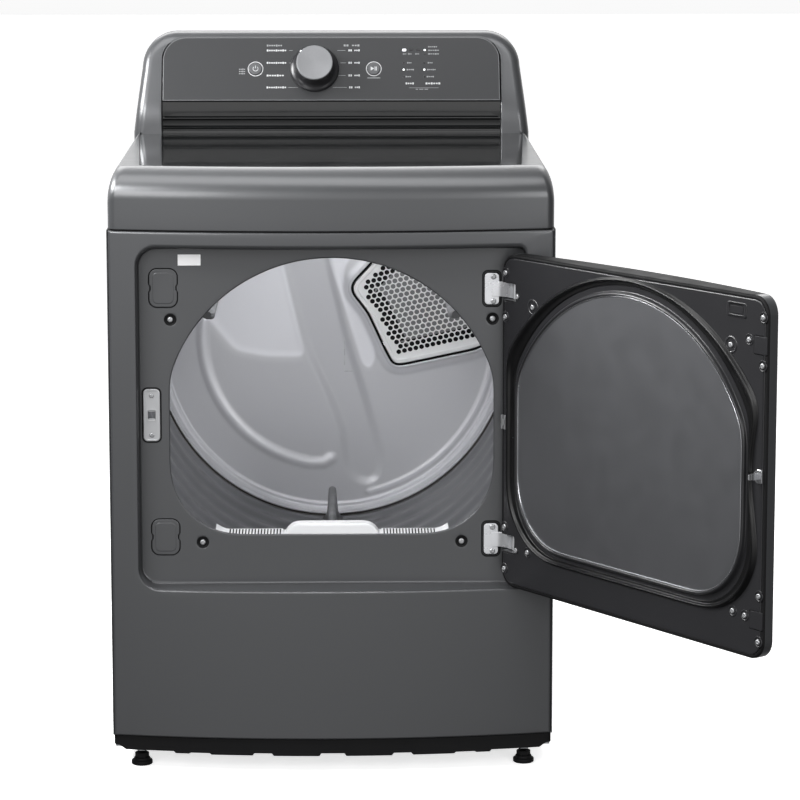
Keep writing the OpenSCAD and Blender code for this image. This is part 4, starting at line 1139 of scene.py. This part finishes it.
def filter_parts():
    """The lint filter, which lifts out, and the ledges and housing that it stands in."""
    g = Geo()
    grip = smooth([(-75, 359), (75, 359), (74, 366), (70, 374), (61, 381.5), (50, 383.5),
                   (-50, 383.5), (-61, 381.5), (-70, 374), (-74, 366)], 90, 7)
    g.prism(grip, [(2.0, 0), (0.6, 0.4), (0, 2.0), (0, 22.0), (0.8, 24.2), (3.0, 25.0)],
            facing(-277))
    make("lint_filter_grip", g, "pale", body="filter")
    g = Geo()
    wide, tall = 50, 36
    windows = [(x, z) for z in (144, 188, 232, 276, 320) for x in (-52, 2)]
    g.prism(rrect(-62, 62, 130, 366, 3, 3), [(0.8, 0), (0, 0.8), (0, 15.2), (0.8, 16)],
            facing(-281), [rrect(x, x + wide, z, z + tall, 1.5, 2) for x, z in windows])
    make("lint_filter_frame", g, "pale", body="filter", replaces=["lint_filter"])
    # mesh, waved like a weave
    g = Geo()
    for x, z in windows:
        g.rows([[(x + i, -287 + (0.35 if (i + k) % 2 else -0.35), z + k) for i in range(wide + 1)]
                for k in range(tall + 1)], closed=False)
    make("lint_filter_mesh", g, "trim", body="filter", angle=180)
    # slotted ledges along the bottom of the opening, with rising ends
    g = Geo()
    ledge_z = 367.6
    tops = ([(77 + 84 * k / 20, ledge_z) for k in range(21)]
            + [(165, 368.2), (169, 369.4), (173, 371.2), (177, 373.4), (181, 376.0)])
    for s in (-1, 1):
        ids = g.rows([[(s * x, -305.4, t - 5), (s * x, -305.4, t - 0.6), (s * x, -304.9, t),
                       (s * x, -270.6, t + 1.2), (s * x, -270, t + 0.6), (s * x, -270, t - 3)]
                      for x, t in tops])
        g.f += [tuple(ids[0]), tuple(ids[-1])]
    make("filter_ledges", g, "pale")
    g = Geo()
    on_ledge = lambda u, v, w: (u, v, ledge_z + (v + 305) * 0.036 + w)
    for x in [s * (81 + k * 4.9) for s in (-1, 1) for k in range(17)]:
        g.prism([(x - 1.0, -303.6), (x + 1.0, -303.6), (x + 1.0, -274), (x - 1.0, -274)],
                [(0, -4.6), (0, 0.35)], on_ledge, caps=TOP)
    make("ledge_slots", g, "matte_black")
    soften("filter_housing", "pale", 1.0)


filter_parts()


# ---------------------------------------------------------------- door, drawn closed
DOOR = (-293.5, 293.5, 293.3, 812.8)


def door_edge(inset=0.0, n=10):
    """Door outline with its two hinge cut-outs on the right edge."""
    x0, x1, z0, z1 = DOOR
    x0, x1, z0, z1, r = x0 + inset, x1 - inset, z0 + inset, z1 - inset, 28 - inset
    pts = arc(x0 + r, z0 + r, r, 180, 270, n) + arc(x1 - r, z0 + r, r, 270, 360, n)
    for h in sorted(HINGE_Z):
        a, b, xi = h - 13.0 - inset * 0.3, h + 13.0 + inset * 0.3, 262 - inset * 0.3
        pts += [(x1, a - 2), (x1, a), (xi + 2, a), (xi, a + 2), (xi, b - 2), (xi + 2, b), (x1, b),
                (x1, b + 2)]
    pts += arc(x1 - r, z1 - r, r, 0, 90, n) + arc(x0 + r, z1 - r, r, 90, 180, n)
    return pts


def door():
    g, hem = Geo(), Geo()
    steps = ((3.6, 0.0), (2.0, 0.35), (0.8, 1.2), (0.2, 2.4), (0, 4.0), (0, 40), (0.2, 43.8))
    flats = [door_edge(i) for i, _ in steps]
    cols = g.rows([[flat(u, v, w) for u, v in f] for f, (_, w) in zip(flats, steps)])
    g.fill([cols[0]], [flats[0]])
    # the hem turned back around the liner, with a dark strip over the door's top side
    hem.rows([[flat(u, v, w) for u, v in door_edge(i)] for i, w in (
        (0.2, 43.8), (0.5, 45.2), (1.2, 46.3), (2.4, 46.9), (3.6, 47.0), (5.2, 47.0), (5.6, 46.6),
        (5.6, 42.0))])
    top = DOOR[3] + 0.25
    hem.rows([[flat(-262 + 524 * k / 36, top - d, w) for w, d in (
        (46.5, 0.9), (45.4, 0.2), (44, 0), (6, 0), (4, 0.3), (3, 1.2))] for k in range(37)],
        closed=False)

    def warp(x, w, z):
        if w <= 4:
            return (x, bow(x) + w, z)
        if w <= 40:
            return (x, lerp(bow(x) + 4, -330.0, (w - 4) / 36), z)
        return (x, -330.0 + (w - 40), z)

    g.bend(strips(20), 0, warp)
    make("door_outer_shell", g, "paint", body="door", replaces=["door_outer_panel"], angle=50)
    hem.bend(strips(20), 0, warp)
    make("door_hem", hem, "matte_black", body="door", angle=50)

    # liner: gloss black, with a low ring around the inner panel
    plug = arch(reach=34, **PLUG)
    g = Geo()
    at = facing(LINER_Y, 1)
    outer = [(0, -6.0), (0, -1.4), (0.3, -0.6), (1.0, -0.1), (2.2, 0.0)]
    flats = [door_edge(5.9 + i) for i, _ in outer]
    cols = g.rows([[at(u, v, w) for u, v in f] for f, (_, w) in zip(flats, outer)])
    inner = g.wrap(plug, ((9.0, 0.0), (7.8, 0.5), (7.0, 2.0), (6.4, 4.4), (5.6, 5.7), (4.4, 6.3),
                          (3.2, 6.4), (2.2, 6.0), (1.5, 5.2), (1.2, 3.0)), at)
    gaps = [rrect(-287.0, -265.4, h - 13.8, h + 13.8, 2.6, 3) for h in SPARE_Z]
    walls = [g.wrap(q, ((0, 0.0), (0, -4.0)), at)[0] for q in gaps]
    g.fill([cols[-1], inner[0]] + walls, [flats[-1], offset(plug, 9.0)] + gaps)
    make("door_liner_shell", g, "liner", body="door", replaces=["door_liner"])

    # inner panel, slightly crowned, with its rolled edge in a lighter, brighter metal as a painted
    # highlight
    g = Geo()
    middle = 575
    ids = g.rows([[at(u * s, middle + (v - middle) * s, w - 1.4) for u, v in offset(plug, 0.9)]
                  for s, w in ((1.0, 3.6), (1.0, 4.9), (0.992, 5.15), (0.97, 5.2), (0.9, 5.35),
                               (0.75, 5.8), (0.55, 6.4), (0.35, 6.8), (0.15, 7.05), (0.004, 7.1))])
    g.f.append(tuple(ids[-1]))
    make("door_inner_sheet", g, "panel", body="door", replaces=["door_inner_panel"])
    # the rolled edge: a painted highlight round the inner panel
    g = Geo()
    g.wrap(plug, ((1.6, 3.5), (1.5, 4.5), (0.7, 5.2), (-0.1, 4.9), (-0.5, 3.7)), at)
    make("door_edge_highlight", g, "edge", body="door")

    # seal: a soft bead on a wide flange, pinched in beside the strike
    inner_o = arch(259, 358, 100, 291, 504, count=260, reach=34)
    outer_o = arch(281, 348, 112, 340, 467, count=260, reach=34)
    g = Geo()
    rows = []
    for t, w in ((0.0, 0.1), (0.03, 1.2), (0.1, 1.7), (0.3, 1.3), (0.42, 1.6), (0.5, 3.2),
                 (0.56, 4.7), (0.62, 5.5), (0.69, 5.8), (0.76, 5.4), (0.82, 4.4), (0.87, 2.8),
                 (0.92, 1.7), (0.97, 1.3), (1.0, 0.1)):
        row = []
        for x, z in blend_outline(inner_o, outer_o, t):
            k = max(0.0, 1 - abs(z - LATCH[1]) / 130)
            if x < 0:
                x += 14.5 * t * k * k * (3 - 2 * k)
            row.append(at(x, z, w))
        rows.append(row)
    g.rows(rows)
    make("door_seal", g, "rubber", body="door", replaces=["door_gasket"], angle=70)

    # screws in low bosses
    spots = ([(x, z) for x in (-284, 284) for z in (783, 715, 387, 321)]
             + [(x, z) for x in (-256, 256) for z in (749, 354)] + [(x, 737) for x in (-219, 219)]
             + [(-231, 356), (228, 356)])
    g, boss = Geo(), Geo()
    for k, (x, z) in enumerate(spots):
        screw_head(g, x, z, 0.2, at, 3.9, 2.0, turn=17 + 41 * k)
        big = 1.5 if z == 737 else 0.6 if x == 256 else 1.0      # small beside the hinge plates
        boss.lathe([(r * big, w)
                    for r, w in ((8.6, 0.0), (8.1, 0.75), (7.2, 1.0), (6.4, 0.7), (5.9, 0.05))],
                   lambda u, v, w, x=x, z=z: at(x + u, z + v, w), 36)
    make("door_screw_heads", g, "catch", body="door", replaces=["door_screws"])
    make("door_screw_bosses", boss, "liner", body="door")

    # covers over the spare hinge places and a small raised window frame
    g = Geo()
    for h in SPARE_Z:
        g.prism(rrect(-292.4, -266.4, h - 12.8, h + 12.8, 2.0, 3),
                [(0, -1), (0, 0.4), (0.3, 0.8), (1.0, 0.95)], at, caps=TOP)
    g.prism(rrect(-250, -209, 777, 799, 4), [(0, 0), (0.4, 0.9), (1.2, 1.2), (3.0, 1.2)], at,
            holes=[rrect(-244, -215, 781.5, 794.5, 2)], caps=TOP)
    g.prism(rrect(-243, -216, 782.5, 793.5, 1.5, 3), [(0, 0), (0.3, 0.6), (1.0, 0.7)], at, caps=TOP)
    make("door_cover_plates", g, "liner", body="door", replaces=["door_edge_caps"])
    # strike for the catch, and the spare bracket on the other edge
    g = Geo()
    spear = smooth([(-287.5, 548), (-277, 548), (-271, 553.5), (-265.5, 558), (-271, 562.5),
                    (-277, 568), (-287.5, 568)], 50, 2)
    g.prism(spear, [(0, 0), (0, 1.4), (0.3, 1.8), (0.8, 2.0)], at, caps=TOP)
    g.prism([(0, -4.5), (4, -4.5), (4, 4.5), (0, 4.5)],
            [(0, 1.0), (0, 9.0), (0.4, 12.5), (0.7, 13.0), (0.2, 14.2), (0.5, 16.5), (1.3, 17.8)],
            lambda u, v, w: (-279 + u, LINER_Y + w, LATCH[1] + v))
    make("door_strike_hook", g, "edge", body="door", replaces=["door_strike"])
    g = Geo()
    for x0, x1, z0, z1 in ((281.0, 285.5, 540, 562), (281.0, 292.0, 546.5, 555.5),
                           (288.6, 292.0, 540, 562)):
        g.prism(rrect(x0, x1, z0, z1, 0.8, 3), [(0, -0.5), (0, 1.6), (0.3, 2.0)], at, caps=TOP)
    make("door_spare_bracket", g, "catch", body="door")


door()


# ---------------------------------------------------------------- hinges
def hinges():
    """Two plates with straps on the cabinet, and their pins and brackets on the door."""
    g = Geo()
    for z in HINGE_Z:
        g.prism(rrect(235.5, 258, z - 24.5, z + 24.5, 6),
                [(0, 0.1), (0, 2.2), (0.3, 2.8), (1.0, 3.0)], facing(FLOOR_Y), caps=TOP)
        # strap from the plate, curled round the pin
        centre = [(247, -317.2), (256, -317.6), (263, -320), (269, -325.5), (274, -332),
                  (276.2, -337.5)] + arc(PIN_X, PIN_Y, 3.6, 160, 440, 7)
        half = 0.85
        left, right = [], []
        for k, p in enumerate(centre):
            a, b = centre[max(0, k - 1)], centre[min(len(centre) - 1, k + 1)]
            d = Vector((b[0] - a[0], b[1] - a[1])).normalized()
            left.append((p[0] - d.y * half, p[1] + d.x * half))
            right.append((p[0] + d.y * half, p[1] - d.x * half))
        g.prism(right + left[::-1], [(0.25, -11.4), (0, -11.0), (0, 11.0), (0.25, 11.4)],
                lambda u, v, w, z=z: (u, v, z + w))
    make("hinge_leaves", g, "chrome", replaces=["hinge_brackets"])
    g = Geo()
    for z in HINGE_Z:
        g.lathe([(0.5, -22), (1.9, -22), (2.2, -21.6), (2.2, 21.6), (1.9, 22), (0.5, 22)],
                lambda u, v, w, z=z: (PIN_X + u, PIN_Y + v, z + w), 24)
        for e in (-18.5, 15.5):
            g.prism(rrect(264, 288, -341, -329.5, 2, 4), [(0.3, 0), (0, 0.3), (0, 2.7), (0.3, 3)],
                    lambda u, v, w, z=z, e=e: (u, v, z + e + w))
    make("hinge_pin_set", g, "chrome", body="door", replaces=["hinge_pins"])


hinges()


# ---------------------------------------------------------------- plinth, feet and the rest
def kick_plate():
    """The plinth follows the bowed front, turns both corners and has a stepped lower edge."""
    side_u, corner_r, setback = 334, 7.5, 5
    right = [(18, 31), (21, 26.6), (92, 26.6), (95, 30.6), (122, 30.6), (125, 27), (189, 27),
             (192, 29.4), (221, 29.4), (224, 27.8), (245, 27.8), (248, 31), (323, 31),
             (side_u, 38), (374, 38), (374, 53.4)]
    g = Geo()
    g.prism(right + [(-u, v) for u, v in right[::-1]],
            [(0, 1.0), (0, 0.5), (0.25, 0.12), (0.7, 0)], flat)

    def warp(u, w, v):
        """Along the bow to side_u, round a corner of corner_r, then straight back."""
        past, side = abs(u) - side_u, 1 if u > 0 else -1
        if past <= 0:
            return (u, bow(u) + setback + w, v)
        a = min(past / corner_r, pi / 2)
        return (side * (side_u + (corner_r - w) * sin(a)),
                bow(side_u) + setback + corner_r - (corner_r - w) * cos(a) + max(0.0, past - 11.78),
                v)

    corners = [q * (side_u + 2.36 * k) for q in (-1, 1) for k in range(6)]
    g.bend(strips(23) + corners, 0, warp)
    make("kick_plate_strip", g, "matte_black", replaces=["kick_plate"], angle=50)


kick_plate()
for node, mat, width in (("side_panel_left", "paint", 0.7), ("side_panel_right", "paint", 0.7),
                         ("rear_panel", "zinc", 0.5), ("console_rear_cover", "matte_black", 0.8),
                         ("foot_lock_nuts", "zinc", 0.8)):
    soften(node, mat, width)


def foot(name):
    """A round pad, its hexagon and its threaded stem."""
    lo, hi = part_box("foot_" + name)
    x, y = ((lo.x + hi.x) / 2 - OX) * 1000, ((lo.y + hi.y) / 2 - OY) * 1000
    here = lambda u, v, w: (x + u, y + v, w)
    g = Geo()
    g.lathe([(0.5, 0), (15.4, 0), (16.3, 0.7), (16.5, 2), (16.5, 5), (16.0, 6.4), (14.6, 7.0),
             (13.4, 7.6), (13, 9), (12.4, 10.6), (11, 11), (0.5, 11)], here, 48)
    g.prism(disc(0, 0, 11, 6), [(0.8, 10.9), (0, 11.6), (0, 18.3), (0.8, 19)], here)
    pitch, start = 1.5, 19
    thread = []
    for k in range(28):
        thread += [(4.2, start + k * pitch), (4.8, start + (k + 0.5) * pitch)]
    g.lathe([(0.5, start)] + thread + [(4.0, 61), (0.5, 61)], here, 24)
    make("foot_" + name + "_pad", g, "matte_black", body="foot_" + name + "_body",
         replaces=["foot_" + name])


for name in ("front_left", "front_right", "rear_left", "rear_right"):
    foot(name)


# ---------------------------------------------------------------- floor
# it lights itself, so that it stays white, and the machine doesn't mirror it
floor_mesh = bpy.data.meshes.new("studio_floor")
floor_mesh.from_pydata([(-30, -20, 0), (30, -20, 0), (30, 20, 0), (-30, 20, 0)], [], [(0, 1, 2, 3)])
floor_mesh.materials.append(material("studio_floor", srgb(250, 250, 250), 0.0, 0.9, tint=0.003,
                                     bump=0.0, emit=0.7))
floor = bpy.data.objects.new("studio_floor", floor_mesh)
scene.collection.objects.link(floor)
floor.visible_glossy = floor.visible_diffuse = False
